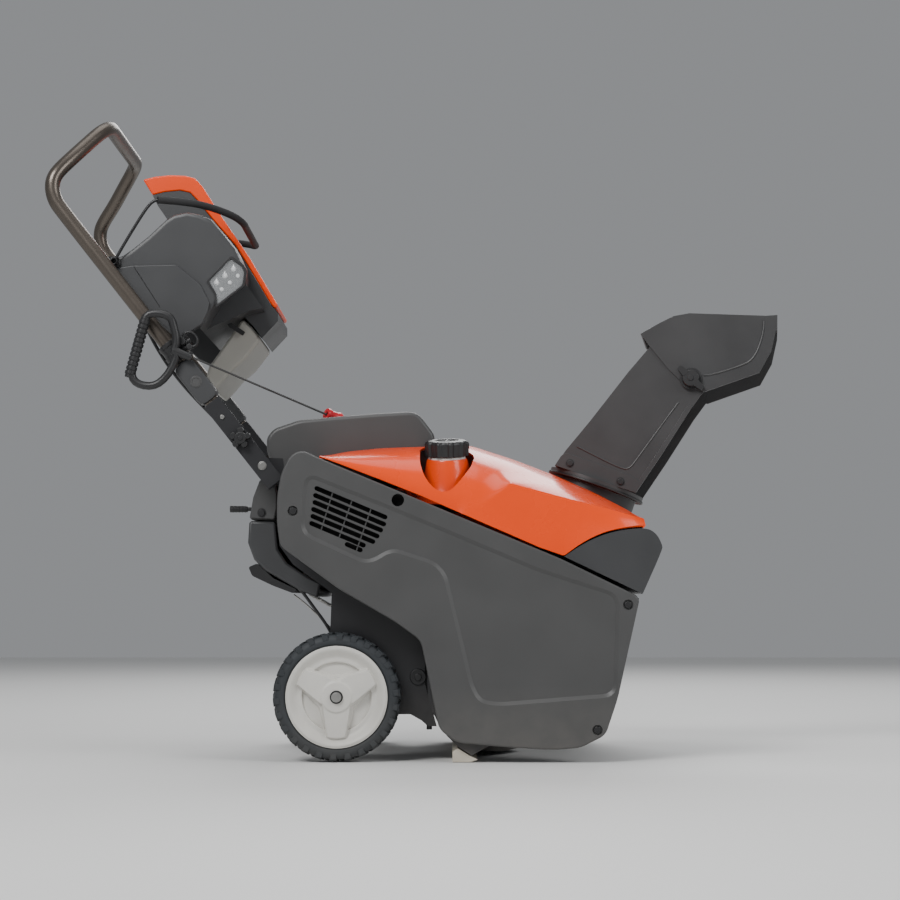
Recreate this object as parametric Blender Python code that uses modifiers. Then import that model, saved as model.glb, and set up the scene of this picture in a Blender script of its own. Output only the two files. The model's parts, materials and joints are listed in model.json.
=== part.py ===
"""Single-stage snow blower, built from separate named solids (metres, +Z up, front at +X)."""

import math

import bmesh
import bpy
from mathutils import Matrix, Vector

for old in list(bpy.data.objects):
    bpy.data.objects.remove(old, do_unlink=True)

# Driving dimensions ---------------------------------------------------------------------------
GAP = 0.0003                 # clearance between touching pieces
BODY_HALF_WIDTH = 0.275      # outer face of the side panels
PANEL_THICKNESS = 0.008
PLASTIC_WALL = 0.004
STEEL_WALL = 0.003

WHEEL_RADIUS = 0.1015
WHEEL_X = -0.195
TYRE_WIDTH = 0.046
WHEEL_Y = BODY_HALF_WIDTH - 0.012 - TYRE_WIDTH / 2      # middle of each tyre
RIM_RADIUS = 0.080
AXLE_RADIUS = 0.008

AUGER_X = 0.075
AUGER_Z = 0.125
AUGER_RADIUS = 0.118
AUGER_SHAFT_RADIUS = 0.0125
HOUSING_RIGHT = PANEL_THICKNESS + 0.005 - BODY_HALF_WIDTH   # the housing's end plates
HOUSING_LEFT = BODY_HALF_WIDTH - 0.039

CRANK_X = -0.105
CRANK_Z = 0.318
ENGINE_PULLEY_RADIUS = 0.030
AUGER_PULLEY_RADIUS = 0.080
BELT_THICKNESS = 0.006
PULLEY_WIDTH = 0.014
BELT_Y = BODY_HALF_WIDTH - 0.025
IDLER_RADIUS = 0.017
IDLER_PIVOT = (0.072, 0.262)

RING_CENTRE = Vector((0.2295, 0.0, 0.442))
RING_TILT = math.radians(19.5)
RING_RADIUS = 0.072
CHUTE_HALF_WIDTH = 0.070
CHUTE_WALL = 0.003
CHUTE_TURN = math.radians(-9.0)

HANDLE_TUBE_RADIUS = 0.012
HANDLE_Y = BODY_HALF_WIDTH - 0.035
FOLD_PIVOT = Vector((-0.314, 0.0, 0.4653))
HANDLE_RISE = math.radians(128.4)
BAIL_PIVOT = Vector((-0.557, 0.0, 0.796))
BAIL_WIRE_RADIUS = 0.0025
BAIL_GRIP_RADIUS = 0.0055
CONSOLE_HALF_WIDTH = HANDLE_Y - 0.028
BAIL_Y = CONSOLE_HALF_WIDTH + 0.0085
TOWER_HALF_WIDTH = 0.105

HUMP_HALF_WIDTH = BODY_HALF_WIDTH - 0.105
FRAME_Y = WHEEL_Y - TYRE_WIDTH / 2 - 0.011     # outer face of the frame plates

product = bpy.data.collections.new("snow_blower")
cutters = bpy.data.collections.new("cutters")
bpy.context.scene.collection.children.link(product)
bpy.context.scene.collection.children.link(cutters)


# Materials ------------------------------------------------------------------------------------
def material(name, colour, roughness, metallic=0.0):
    made = bpy.data.materials.new(name)
    made.use_nodes = True
    shader = made.node_tree.nodes["Principled BSDF"]
    shader.inputs["Base Color"].default_value = (*colour, 1.0)
    shader.inputs["Roughness"].default_value = roughness
    shader.inputs["Metallic"].default_value = metallic
    made.diffuse_color = (*colour, 1.0)
    return made


GREY_PLASTIC = material("grey_plastic", (0.085, 0.088, 0.092), 0.55)
DARK_PLASTIC = material("dark_plastic", (0.055, 0.057, 0.062), 0.5)
BLACK_PLASTIC = material("black_plastic", (0.015, 0.015, 0.016), 0.5)
ORANGE_PLASTIC = material("orange_plastic", (0.85, 0.085, 0.008), 0.3)
RIM_PLASTIC = material("rim_plastic", (0.68, 0.66, 0.60), 0.5)
TYRE_RUBBER = material("tyre_rubber", (0.028, 0.032, 0.036), 0.85)
PADDLE_RUBBER = material("paddle_rubber", (0.02, 0.02, 0.022), 0.9)
BLACK_STEEL = material("black_steel", (0.02, 0.02, 0.022), 0.45, 0.6)
BARE_STEEL = material("bare_steel", (0.55, 0.55, 0.54), 0.35, 1.0)
HANDLE_STEEL = material("handle_steel", (0.14, 0.12, 0.105), 0.38, 0.9)
CAST_ALUMINIUM = material("cast_aluminium", (0.48, 0.48, 0.48), 0.5, 1.0)
BEIGE_PLASTIC = material("beige_plastic", (0.31, 0.30, 0.27), 0.6)
RED_PLASTIC = material("red_plastic", (0.55, 0.02, 0.03), 0.4)
LENS_PLASTIC = material("lens_plastic", (0.75, 0.78, 0.8), 0.1)
ROPE_FIBRE = material("rope_fibre", (0.10, 0.10, 0.10), 0.9)
BELT_RUBBER = material("belt_rubber", (0.02, 0.02, 0.02), 0.8)
SCRAPER_PLASTIC = material("scraper_plastic", (0.62, 0.58, 0.48), 0.6)


# Shape helpers --------------------------------------------------------------------------------
def add_object(name, data, mat, group=product, smooth=False):
    made = bpy.data.objects.new(name, data)
    group.objects.link(made)
    if mat:
        data.materials.append(mat)
    if smooth and hasattr(data, "polygons"):
        data.polygons.foreach_set("use_smooth", [True] * len(data.polygons))
    return made


def mesh_of(bm, name):
    bmesh.ops.recalc_face_normals(bm, faces=bm.faces)
    mesh = bpy.data.meshes.new(name)
    bm.to_mesh(mesh)
    bm.free()
    return mesh


def extruded(name, outline, y_from, y_to, mat, group=product):
    """A flat (x, z) outline carried along Y."""
    bm = bmesh.new()
    verts = [bm.verts.new((x, y_from, z)) for x, z in outline]
    face = bm.faces.new(verts)
    grown = bmesh.ops.extrude_face_region(bm, geom=[face])
    moved = [v for v in grown["geom"] if isinstance(v, bmesh.types.BMVert)]
    bmesh.ops.translate(bm, vec=(0.0, y_to - y_from, 0.0), verts=moved)
    return add_object(name, mesh_of(bm, name), mat, group)


def block(name, low, high, mat, group=product):
    bm = bmesh.new()
    bmesh.ops.create_cube(bm, size=1.0)
    size = Vector(high) - Vector(low)
    bmesh.ops.scale(bm, vec=size, verts=bm.verts)
    bmesh.ops.translate(bm, vec=(Vector(high) + Vector(low)) / 2, verts=bm.verts)
    return add_object(name, mesh_of(bm, name), mat, group)


def cylinder(name, start, end, radius, mat, segments=24, group=product, end_radius=None):
    start, end = Vector(start), Vector(end)
    bm = bmesh.new()
    top = radius if end_radius is None else end_radius
    bmesh.ops.create_cone(bm, cap_ends=True, segments=segments, radius1=radius, radius2=top,
                          depth=(end - start).length)
    turn = (end - start).to_track_quat("Z", "Y").to_matrix().to_4x4()
    bmesh.ops.transform(bm, matrix=Matrix.Translation((start + end) / 2) @ turn, verts=bm.verts)
    made = add_object(name, mesh_of(bm, name), mat, group, smooth=False)
    return made


def turned(name, profile, centre, mat, steps=32, closed=False, outward=-1.0):
    """A (radius, along) profile turned about the Y axis; `outward` is the side it faces."""
    bm = bmesh.new()
    verts = [bm.verts.new((radius, 0.0, along)) for radius, along in profile]
    for first, second in zip(verts, verts[1:]):
        bm.edges.new((first, second))
    if closed:
        bm.edges.new((verts[-1], verts[0]))
    mesh = bpy.data.meshes.new(name)
    bm.to_mesh(mesh)
    bm.free()
    made = add_object(name, mesh, mat)
    screw = made.modifiers.new("Turn", "SCREW")
    screw.axis = "Z"
    screw.angle = math.tau
    screw.steps = steps
    screw.render_steps = steps
    screw.use_merge_vertices = True
    screw.merge_threshold = 0.00005
    screw.use_smooth_shade = True
    made.rotation_euler = (math.radians(90.0) * -outward, 0.0, 0.0)
    made.location = centre
    return made


def tube(name, points, radius, mat, resolution=3):
    """A round bar along hand-picked points."""
    curve = bpy.data.curves.new(name, "CURVE")
    curve.dimensions = "3D"
    curve.bevel_depth = radius
    curve.bevel_resolution = resolution
    curve.use_fill_caps = True
    line = curve.splines.new("POLY")
    line.points.add(len(points) - 1)
    for point, place in zip(line.points, points):
        point.co = (*place, 1.0)
    return add_object(name, curve, mat)


def formed(name, rows, columns, place, mat, thickness, offset=-1.0):
    """A sheet whose grid points come from place(u, v), thickened inwards."""
    bm = bmesh.new()
    bmesh.ops.create_grid(bm, x_segments=columns, y_segments=rows, size=0.5)
    for vert in bm.verts:
        vert.co = place(vert.co.x + 0.5, vert.co.y + 0.5)
    made = add_object(name, mesh_of(bm, name), mat)
    wall = made.modifiers.new("Wall", "SOLIDIFY")
    wall.thickness = thickness
    wall.offset = offset
    return made


def boolean(target, other, operation="DIFFERENCE"):
    other.display_type = "WIRE"
    other.hide_render = True
    change = target.modifiers.new(other.name, "BOOLEAN")
    change.operation = operation
    change.solver = "EXACT"
    change.object = other


def soften(target, width, segments=1, angle=40.0):
    edge = target.modifiers.new("Edges", "BEVEL")
    edge.width = width
    edge.segments = segments
    edge.limit_method = "ANGLE"
    edge.angle_limit = math.radians(angle)


def arc(centre, radius, start, end, steps):
    """Points of a circle between two angles in degrees."""
    points = []
    for step in range(steps + 1):
        angle = math.radians(start + (end - start) * step / steps)
        points.append((centre[0] + radius * math.cos(angle), centre[1] + radius * math.sin(angle)))
    return points


def rounded(points, radius, steps=3):
    """A closed outline with each corner cut to a short arc."""
    made = []
    count = len(points)
    for index, (x, z) in enumerate(points):
        here = Vector((x, z))
        before = Vector(points[index - 1]) - here
        after = Vector(points[(index + 1) % count]) - here
        reach = min(radius, before.length * 0.45, after.length * 0.45)
        first = here + before.normalized() * reach
        last = here + after.normalized() * reach
        for step in range(steps + 1):
            t = step / steps
            spot = first * (1 - t) ** 2 + here * 2 * t * (1 - t) + last * t ** 2
            made.append((spot.x, spot.y))
    return made


def level(points, value):
    """Height of a line of (x, z) points at x."""
    for (x0, z0), (x1, z1) in zip(points, points[1:]):
        if value <= x1:
            return z0 + (z1 - z0) * (value - x0) / (x1 - x0)
    return points[-1][1]


SIDES = (("right", -1.0), ("left", 1.0))


# Body -----------------------------------------------------------------------------------------
SEAM = [(-0.222, 0.477), (-0.187, 0.464), (-0.127, 0.441), (-0.064, 0.416), (0.0, 0.388),
        (0.062, 0.361), (0.124, 0.334), (0.162, 0.321)]
NOSE_SEAM = [(0.162, 0.321), (0.284, 0.262)]
PANEL_OUTLINE = [
    (-0.222, 0.476), (-0.248, 0.488), (-0.262, 0.486), (-0.272, 0.476), (-0.283, 0.452),
    (-0.289, 0.415), (-0.289, 0.375), (-0.284, 0.340), (-0.268, 0.323), (-0.189, 0.269),
    (-0.103, 0.219), (-0.067, 0.191), (-0.057, 0.168), (-0.047, 0.113), (-0.036, 0.063),
    (-0.025, 0.046), (-0.009, 0.034), (0.061, 0.025), (0.139, 0.020), (0.178, 0.022),
    (0.201, 0.031), (0.226, 0.043), (0.245, 0.099), (0.281, 0.258), (0.160, 0.317)]
GRILLE_SLOPE = math.radians(-22.8)
GRILLE_ROWS = [(-0.230, 0.430, 0.124), (-0.232, 0.419, 0.124), (-0.233, 0.408, 0.120),
               (-0.235, 0.397, 0.116), (-0.236, 0.386, 0.110), (-0.238, 0.375, 0.096),
               (-0.182, 0.342, 0.030)]
PANEL_SCREWS = [(-0.264, 0.393), (0.262, 0.246), (0.213, 0.051)]


def slot_outline(x, z, length, thickness, slope):
    half = thickness / 2
    ends = arc((length - half, 0.0), half, -90, 90, 4) + arc((half, 0.0), half, 90, 270, 4)
    cos, sin = math.cos(slope), math.sin(slope)
    return [(x + a * cos - b * sin, z + a * sin + b * cos) for a, b in ends]


def side_panel(side, sign):
    outer = sign * BODY_HALF_WIDTH
    inner = sign * (BODY_HALF_WIDTH - PANEL_THICKNESS)
    panel = extruded("side_panel_" + side, PANEL_OUTLINE, inner, outer, GREY_PLASTIC)
    soften(panel, 0.0025, 1, 25)
    floor = outer - sign * 0.0035
    beyond = outer + sign * 0.01
    upper = [(-0.241, 0.447), (-0.114, 0.394), (-0.02, 0.355), (0.120, 0.296), (0.236, 0.262),
             (0.236, 0.115), (0.040, 0.105), (0.024, 0.112), (-0.020, 0.290), (-0.035, 0.312),
             (-0.108, 0.334), (-0.146, 0.314), (-0.246, 0.360)]
    recess = extruded("recess_" + side, upper, floor, beyond, None, cutters)
    boolean(panel, recess)
    if sign < 0:
        for number, (x, z, length) in enumerate(GRILLE_ROWS):
            outline = slot_outline(x, z, length, 0.0070, GRILLE_SLOPE)
            slot = extruded(f"slot_{side}_{number}", outline, outer * 0.9, beyond, None, cutters)
            boolean(panel, slot)
        hole = cylinder("panel_hole_" + side, (-0.099, outer * 0.9, 0.410),
                        (-0.099, beyond, 0.410), 0.010, None, 16, cutters)
        boolean(panel, hole)
    for number, (x, z) in enumerate(PANEL_SCREWS):
        seat = cylinder(f"seat_{side}_{number}", (x, outer - sign * 0.004, z), (x, beyond, z),
                        0.0078, None, 16, cutters)
        boolean(panel, seat)


def hood():
    low = SEAM + [(0.190, 0.3415), (0.222, 0.3575), (0.254, 0.3655), (0.290, 0.3705)]
    top = [(-0.222, 0.484), (-0.187, 0.497), (-0.130, 0.507), (-0.049, 0.515), (0.015, 0.512),
           (0.096, 0.486), (0.160, 0.462), (0.224, 0.433), (0.272, 0.406), (0.285, 0.396),
           (0.290, 0.386)]
    stations = [-0.222, -0.187, -0.127, -0.064, -0.02, 0.03, 0.075, 0.124, 0.162, 0.200, 0.236,
                0.268, 0.284, 0.290]
    section = [(0.0, 1.0, 0.0), (0.10, 0.995, 0.0), (0.30, 0.965, 0.0), (0.52, 0.90, 0.0),
               (0.70, 0.81, 0.0), (0.84, 0.69, 0.0), (0.935, 0.54, 0.0), (0.985, 0.34, 0.0005),
               (1.0, 0.0, 0.0010)]
    section = section + [(a, -b, c) for a, b, c in reversed(section[:-1])]
    half = BODY_HALF_WIDTH - 0.003

    def place(u, v):
        x = stations[round(u * (len(stations) - 1))]
        rise, reach, crown = section[round(v * (len(section) - 1))]
        bottom = level(low, x) + 0.0020
        height = level(top, x)
        narrow = 0.0 if x < 0.2 else 0.10 * ((x - 0.2) / 0.09) ** 2
        y = -half * (reach - narrow * rise * reach)
        return Vector((x, y, bottom + (height - bottom) * rise + crown))

    made = formed("hood", len(section) - 1, len(stations) - 1, place, ORANGE_PLASTIC, PLASTIC_WALL)
    bowl = cylinder("cap_bowl", CAP_FOOT - CAP_AXIS * 0.05, CAP_FOOT + CAP_AXIS * 0.08, 0.0405,
                    None, 24, cutters)
    boolean(made, bowl)
    opening = block("hump_opening", (-0.30, -HUMP_HALF_WIDTH - GAP, 0.30),
                    (-0.0415, HUMP_HALF_WIDTH + GAP, 0.60), None, cutters)
    boolean(made, opening)
    ring_hole = cylinder("ring_hole", RING_CENTRE - ring_axis() * 0.06,
                         RING_CENTRE + ring_axis() * 0.06, RING_RADIUS + GAP, None, 40, cutters)
    boolean(made, ring_hole)
    return made


def ring_axis():
    return Vector((math.sin(RING_TILT), 0.0, math.cos(RING_TILT)))


CAP_FOOT = Vector((-0.021, 0.078 - BODY_HALF_WIDTH, 0.447))
CAP_AXIS = Vector((-0.02, -0.17, 0.985)).normalized()


def rear_top_cover():
    outer = [(-0.296, 0.450), (-0.310, 0.489), (-0.314, 0.514), (-0.303, 0.530), (-0.286, 0.540),
             (-0.262, 0.545), (-0.197, 0.551), (-0.131, 0.556), (-0.079, 0.558), (-0.066, 0.553),
             (-0.042, 0.521), (-0.042, 0.450)]
    cover = extruded("rear_top_cover", outer, -HUMP_HALF_WIDTH, HUMP_HALF_WIDTH, GREY_PLASTIC)
    soften(cover, 0.010, 2, 60)
    wall = PLASTIC_WALL
    inner = [(-0.288, 0.440), (-0.305, 0.489), (-0.309, 0.512), (-0.300, 0.526), (-0.285, 0.535),
             (-0.262, 0.540), (-0.197, 0.546), (-0.131, 0.551), (-0.081, 0.553), (-0.070, 0.549),
             (-0.047, 0.518), (-0.047, 0.440)]
    room = extruded("cover_room", inner, wall * 1.5 - HUMP_HALF_WIDTH, HUMP_HALF_WIDTH - wall * 1.5,
                    None, cutters)
    soften(room, 0.006, 1, 60)
    boolean(cover, room)
    bore = cylinder("guide_bore", ROPE_GUIDE - ROPE_WAY * 0.04, ROPE_GUIDE + ROPE_WAY * 0.05,
                    0.0095, None, 20, cutters)
    boolean(cover, bore)


def front_cap():
    outer = [(0.162 + GAP, 0.3214), (0.190, 0.3405), (0.222, 0.3555), (0.254, 0.3635),
             (0.291, 0.3665), (0.302, 0.361), (0.312, 0.348), (0.316, 0.334), (0.285, 0.2630)]
    cap = extruded("front_cap", outer, -BODY_HALF_WIDTH + 0.002, BODY_HALF_WIDTH - 0.002,
                   DARK_PLASTIC)
    soften(cap, 0.003, 1, 40)
    inner = [(0.176, 0.3190), (0.192, 0.3345), (0.223, 0.3495), (0.254, 0.3580), (0.289, 0.3610),
             (0.299, 0.356), (0.307, 0.345), (0.310, 0.334), (0.283, 0.2730), (0.20, 0.29)]
    room = extruded("cap_room", inner, -BODY_HALF_WIDTH + 0.008, BODY_HALF_WIDTH - 0.008, None,
                    cutters)
    boolean(cap, room)
    passage = cylinder("cap_passage", RING_CENTRE - ring_axis() * 0.16, RING_CENTRE,
                       RING_RADIUS + 0.002, None, 40, cutters)
    boolean(cap, passage)


def rear_covers():
    half = FRAME_Y - STEEL_WALL - 0.002
    upper = [(-0.322, 0.447), (-0.333, 0.418), (-0.339, 0.3825), (-0.298, 0.3805), (-0.2935, 0.40),
             (-0.2935, 0.425), (-0.2995, 0.447)]
    cover = extruded("rear_cover_upper", upper, -half, half, GREY_PLASTIC)
    soften(cover, 0.003, 1, 40)
    inner = [(-0.316, 0.442), (-0.328, 0.416), (-0.333, 0.387), (-0.28, 0.387), (-0.28, 0.442)]
    room = extruded("upper_room", inner, 0.006 - half, half - 0.006, None, cutters)
    boolean(cover, room)
    hole = cylinder("choke_hole", (-0.40, -0.05, 0.405), (-0.30, -0.05, 0.405), 0.0038, None, 16,
                    cutters)
    boolean(cover, hole)
    lower = [(-0.339, 0.3800), (-0.341, 0.345), (-0.331, 0.318), (-0.313, 0.300), (-0.257, 0.268),
             (-0.229, 0.257), (-0.223, 0.281), (-0.247, 0.292), (-0.278, 0.312), (-0.293, 0.335),
             (-0.2975, 0.3785)]
    guard = extruded("rear_cover_lower", lower, -half, half, DARK_PLASTIC)
    soften(guard, 0.003, 1, 40)
    inner = [(-0.334, 0.372), (-0.335, 0.346), (-0.326, 0.323), (-0.309, 0.306), (-0.254, 0.274),
             (-0.21, 0.262), (-0.20, 0.30), (-0.27, 0.40), (-0.31, 0.376)]
    room = extruded("lower_room", inner, 0.006 - half, half - 0.006, None, cutters)
    boolean(guard, room)
    stem = cylinder("choke_knob", (-0.300, -0.05, 0.405), (-0.356, -0.05, 0.405), 0.0034,
                    BLACK_PLASTIC, 14)
    disc = cylinder("choke_disc", (-0.356, -0.05, 0.405), (-0.385, -0.05, 0.405), 0.0058, None, 16,
                    cutters)
    boolean(stem, disc, "UNION")


# Frame and auger housing ----------------------------------------------------------------------
def frame():
    """Two steel side plates joined by a cross plate, and the axle through them."""
    outline = [(-0.206, 0.265), (-0.208, 0.205), (-0.222, 0.135), (-0.222, 0.080),
               (-0.206, 0.072), (-0.080, 0.072), (-0.062, 0.062), (-0.052, 0.053),
               (-0.038, 0.053), (-0.058, 0.125), (-0.056, 0.170), (-0.030, 0.225),
               (-0.030, 0.300), (-0.150, 0.350), (-0.280, 0.440), (-0.285, 0.480),
               (-0.330, 0.482), (-0.326, 0.455), (-0.303, 0.452), (-0.290, 0.4305),
               (-0.290, 0.340), (-0.268, 0.310)]
    plates = extruded("rear_frame", outline, -FRAME_Y, FRAME_Y, BLACK_STEEL)
    inside = FRAME_Y - STEEL_WALL
    for number, (low, high) in enumerate((((-0.40, 0.239), (0.10, 0.60)),
                                          ((-0.40, -0.05), (0.10, 0.236)))):
        room = block(f"frame_room_{number}", (low[0], -inside, low[1]), (high[0], inside, high[1]),
                     None, cutters)
        boolean(plates, room)
    window = block("frame_window", (-0.195, -inside, 0.20), (-0.166, inside, 0.30), None, cutters)
    boolean(plates, window)
    bore = cylinder("axle_bore", (WHEEL_X, -0.3, WHEEL_RADIUS), (WHEEL_X, 0.3, WHEEL_RADIUS),
                    AXLE_RADIUS + GAP, None, 24, cutters)
    boolean(plates, bore)
    crank_bore = cylinder("crank_clearance", (CRANK_X, -0.3, CRANK_Z), (CRANK_X, 0.3, CRANK_Z),
                          0.014, None, 20, cutters)
    boolean(plates, crank_bore)
    end = WHEEL_Y + TYRE_WIDTH / 2 + 0.006
    cylinder("axle", (WHEEL_X, -end, WHEEL_RADIUS), (WHEEL_X, end, WHEEL_RADIUS), AXLE_RADIUS,
             BARE_STEEL, 24)


def housing_profile(offset):
    """The trough's wall line, `offset` inside its outer face."""
    radius = AUGER_RADIUS + 0.010 - offset
    rear = arc((AUGER_X, AUGER_Z), radius, 243, 125, 11)
    return rear + [(0.060, 0.286 - offset), (0.110, 0.309 - offset * 1.1),
                   (0.159, 0.3135 - offset * 1.1)]


def auger_housing():
    wall = STEEL_WALL
    outer = housing_profile(0.0)
    inner = housing_profile(wall)
    lip_outer = [(0.2800, 0.2560)]
    lip_inner = [(0.2785, 0.2560 - wall)]
    trough_out = outer + lip_outer
    mouth = [(0.226, 0.048), (0.196, 0.040), (0.139, 0.031), (0.060, 0.034)]
    shell = extruded("auger_housing", trough_out + mouth, HOUSING_RIGHT, HOUSING_LEFT, BLACK_STEEL)
    front = [(0.40, 0.24), (0.40, -0.05), (0.005, -0.05)]
    room = extruded("housing_room", inner + lip_inner + front, HOUSING_RIGHT + wall,
                    HOUSING_LEFT - wall, None, cutters)
    boolean(shell, room)
    bore = cylinder("shaft_bore", (AUGER_X, -BODY_HALF_WIDTH, AUGER_Z),
                    (AUGER_X, BODY_HALF_WIDTH, AUGER_Z), 0.0225, None, 24, cutters)
    boolean(shell, bore)
    outlet = cylinder("outlet", RING_CENTRE - ring_axis() * 0.24, RING_CENTRE,
                      RING_RADIUS - 0.008, None, 40, cutters)
    boolean(shell, outlet)
    foot = outer[0]
    half_right = HOUSING_RIGHT + wall + GAP
    half_left = HOUSING_LEFT - wall - GAP
    scraper = [(foot[0] - 0.030, 0.0), (foot[0] - 0.002, 0.0), (foot[0] + 0.010, 0.0040),
               (foot[0] - 0.001, 0.0095), (foot[0] - 0.022, 0.022), (foot[0] - 0.030, 0.016)]
    extruded("scraper_bar", scraper, half_right, half_left, SCRAPER_PLASTIC)
    for side, sign in SIDES:
        seat = HOUSING_RIGHT if sign < 0 else HOUSING_LEFT
        ring = [(AUGER_SHAFT_RADIUS + GAP, 0.0045), (0.0222, 0.0045), (0.0222, -0.0015),
                (AUGER_SHAFT_RADIUS + GAP, -0.0015)]
        turned("auger_bearing_" + side, ring, (AUGER_X, seat, AUGER_Z), BARE_STEEL,
               24, True, sign)


def auger():
    inside = HOUSING_LEFT - STEEL_WALL
    far = BELT_Y + 0.012
    cylinder("auger_shaft", (AUGER_X, HOUSING_RIGHT - 0.004, AUGER_Z), (AUGER_X, far, AUGER_Z),
             AUGER_SHAFT_RADIUS, BARE_STEEL, 24)
    right = HOUSING_RIGHT + STEEL_WALL + 0.005
    left = inside - 0.005
    middle = (right + left) / 2
    half = (left - right) / 2
    for number, start in enumerate((248.0, 68.0)):
        def place(u, v, start=start):
            share = abs(v - 0.5) * 2
            angle = math.radians(start + 55.0 * (1.0 - share) ** 1.2)
            radius = AUGER_SHAFT_RADIUS + 0.002 + u * (AUGER_RADIUS - AUGER_SHAFT_RADIUS - 0.002)
            curl = math.radians(16.0) * u ** 2
            return Vector((AUGER_X + radius * math.cos(angle - curl), middle + (v - 0.5) * 2 * half,
                           AUGER_Z + radius * math.sin(angle - curl)))
        formed("auger_paddle_" + "ab"[number], 16, 4, place, PADDLE_RUBBER, 0.006, 0.0)


# Engine and drive -----------------------------------------------------------------------------
def engine():
    body = block("engine_block", (-0.168, -0.085, 0.245), (-0.045, 0.120, 0.388), CAST_ALUMINIUM)
    soften(body, 0.012, 2)
    bore = cylinder("crank_bore", (CRANK_X, -0.2, CRANK_Z), (CRANK_X, 0.3, CRANK_Z), 0.0125, None,
                    20, cutters)
    boolean(body, bore)
    fins = block("cylinder_fins", (-0.262, -0.050, 0.280), (-0.1685, 0.055, 0.375), CAST_ALUMINIUM)
    for number in range(5):
        x = -0.248 + number * 0.016
        groove = block(f"fin_gap_{number}", (x, -0.060, 0.300), (x + 0.007, 0.065, 0.40), None,
                       cutters)
        boolean(fins, groove)
    recoil = turned("recoil_housing", [(0.0, 0.046), (0.055, 0.046), (0.070, 0.040), (0.076, 0.030),
                                       (0.076, 0.0), (0.0, 0.0)],
                    (CRANK_X, -0.0853, CRANK_Z), BLACK_PLASTIC, 28, False, -1.0)
    pocket = cylinder("recoil_pocket", (CRANK_X, -0.101, CRANK_Z), (CRANK_X, 0.0, CRANK_Z), 0.030,
                      None, 20, cutters)
    boolean(recoil, pocket)
    can = block("muffler", (-0.044, -0.030, 0.315), (0.030, 0.110, 0.385), BLACK_STEEL)
    soften(can, 0.010, 2)
    tank = block("fuel_tank", (-0.060, 0.060 - BODY_HALF_WIDTH, 0.398), (0.055, -0.060, 0.447),
                 BLACK_PLASTIC)
    soften(tank, 0.010, 2)
    neck = cylinder("tank_neck", CAP_FOOT - CAP_AXIS * 0.035, CAP_FOOT + CAP_AXIS * 0.020, 0.020,
                    None, 24, cutters)
    boolean(tank, neck, "UNION")
    collar = cylinder("filler_collar", CAP_FOOT + CAP_AXIS * 0.0190, CAP_FOOT + CAP_AXIS * 0.0283,
                      0.027, None, 28, cutters)
    boolean(tank, collar, "UNION")
    cap = turned("fuel_cap", [(0.0, 0.026), (0.032, 0.026), (0.0365, 0.022), (0.0365, 0.004),
                              (0.034, 0.0), (0.0, 0.0)], (0, 0, 0), BLACK_PLASTIC, 32)
    cap.rotation_euler = CAP_AXIS.to_track_quat("Z", "Y").to_euler()
    cap.location = CAP_FOOT + CAP_AXIS * 0.0286


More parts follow.
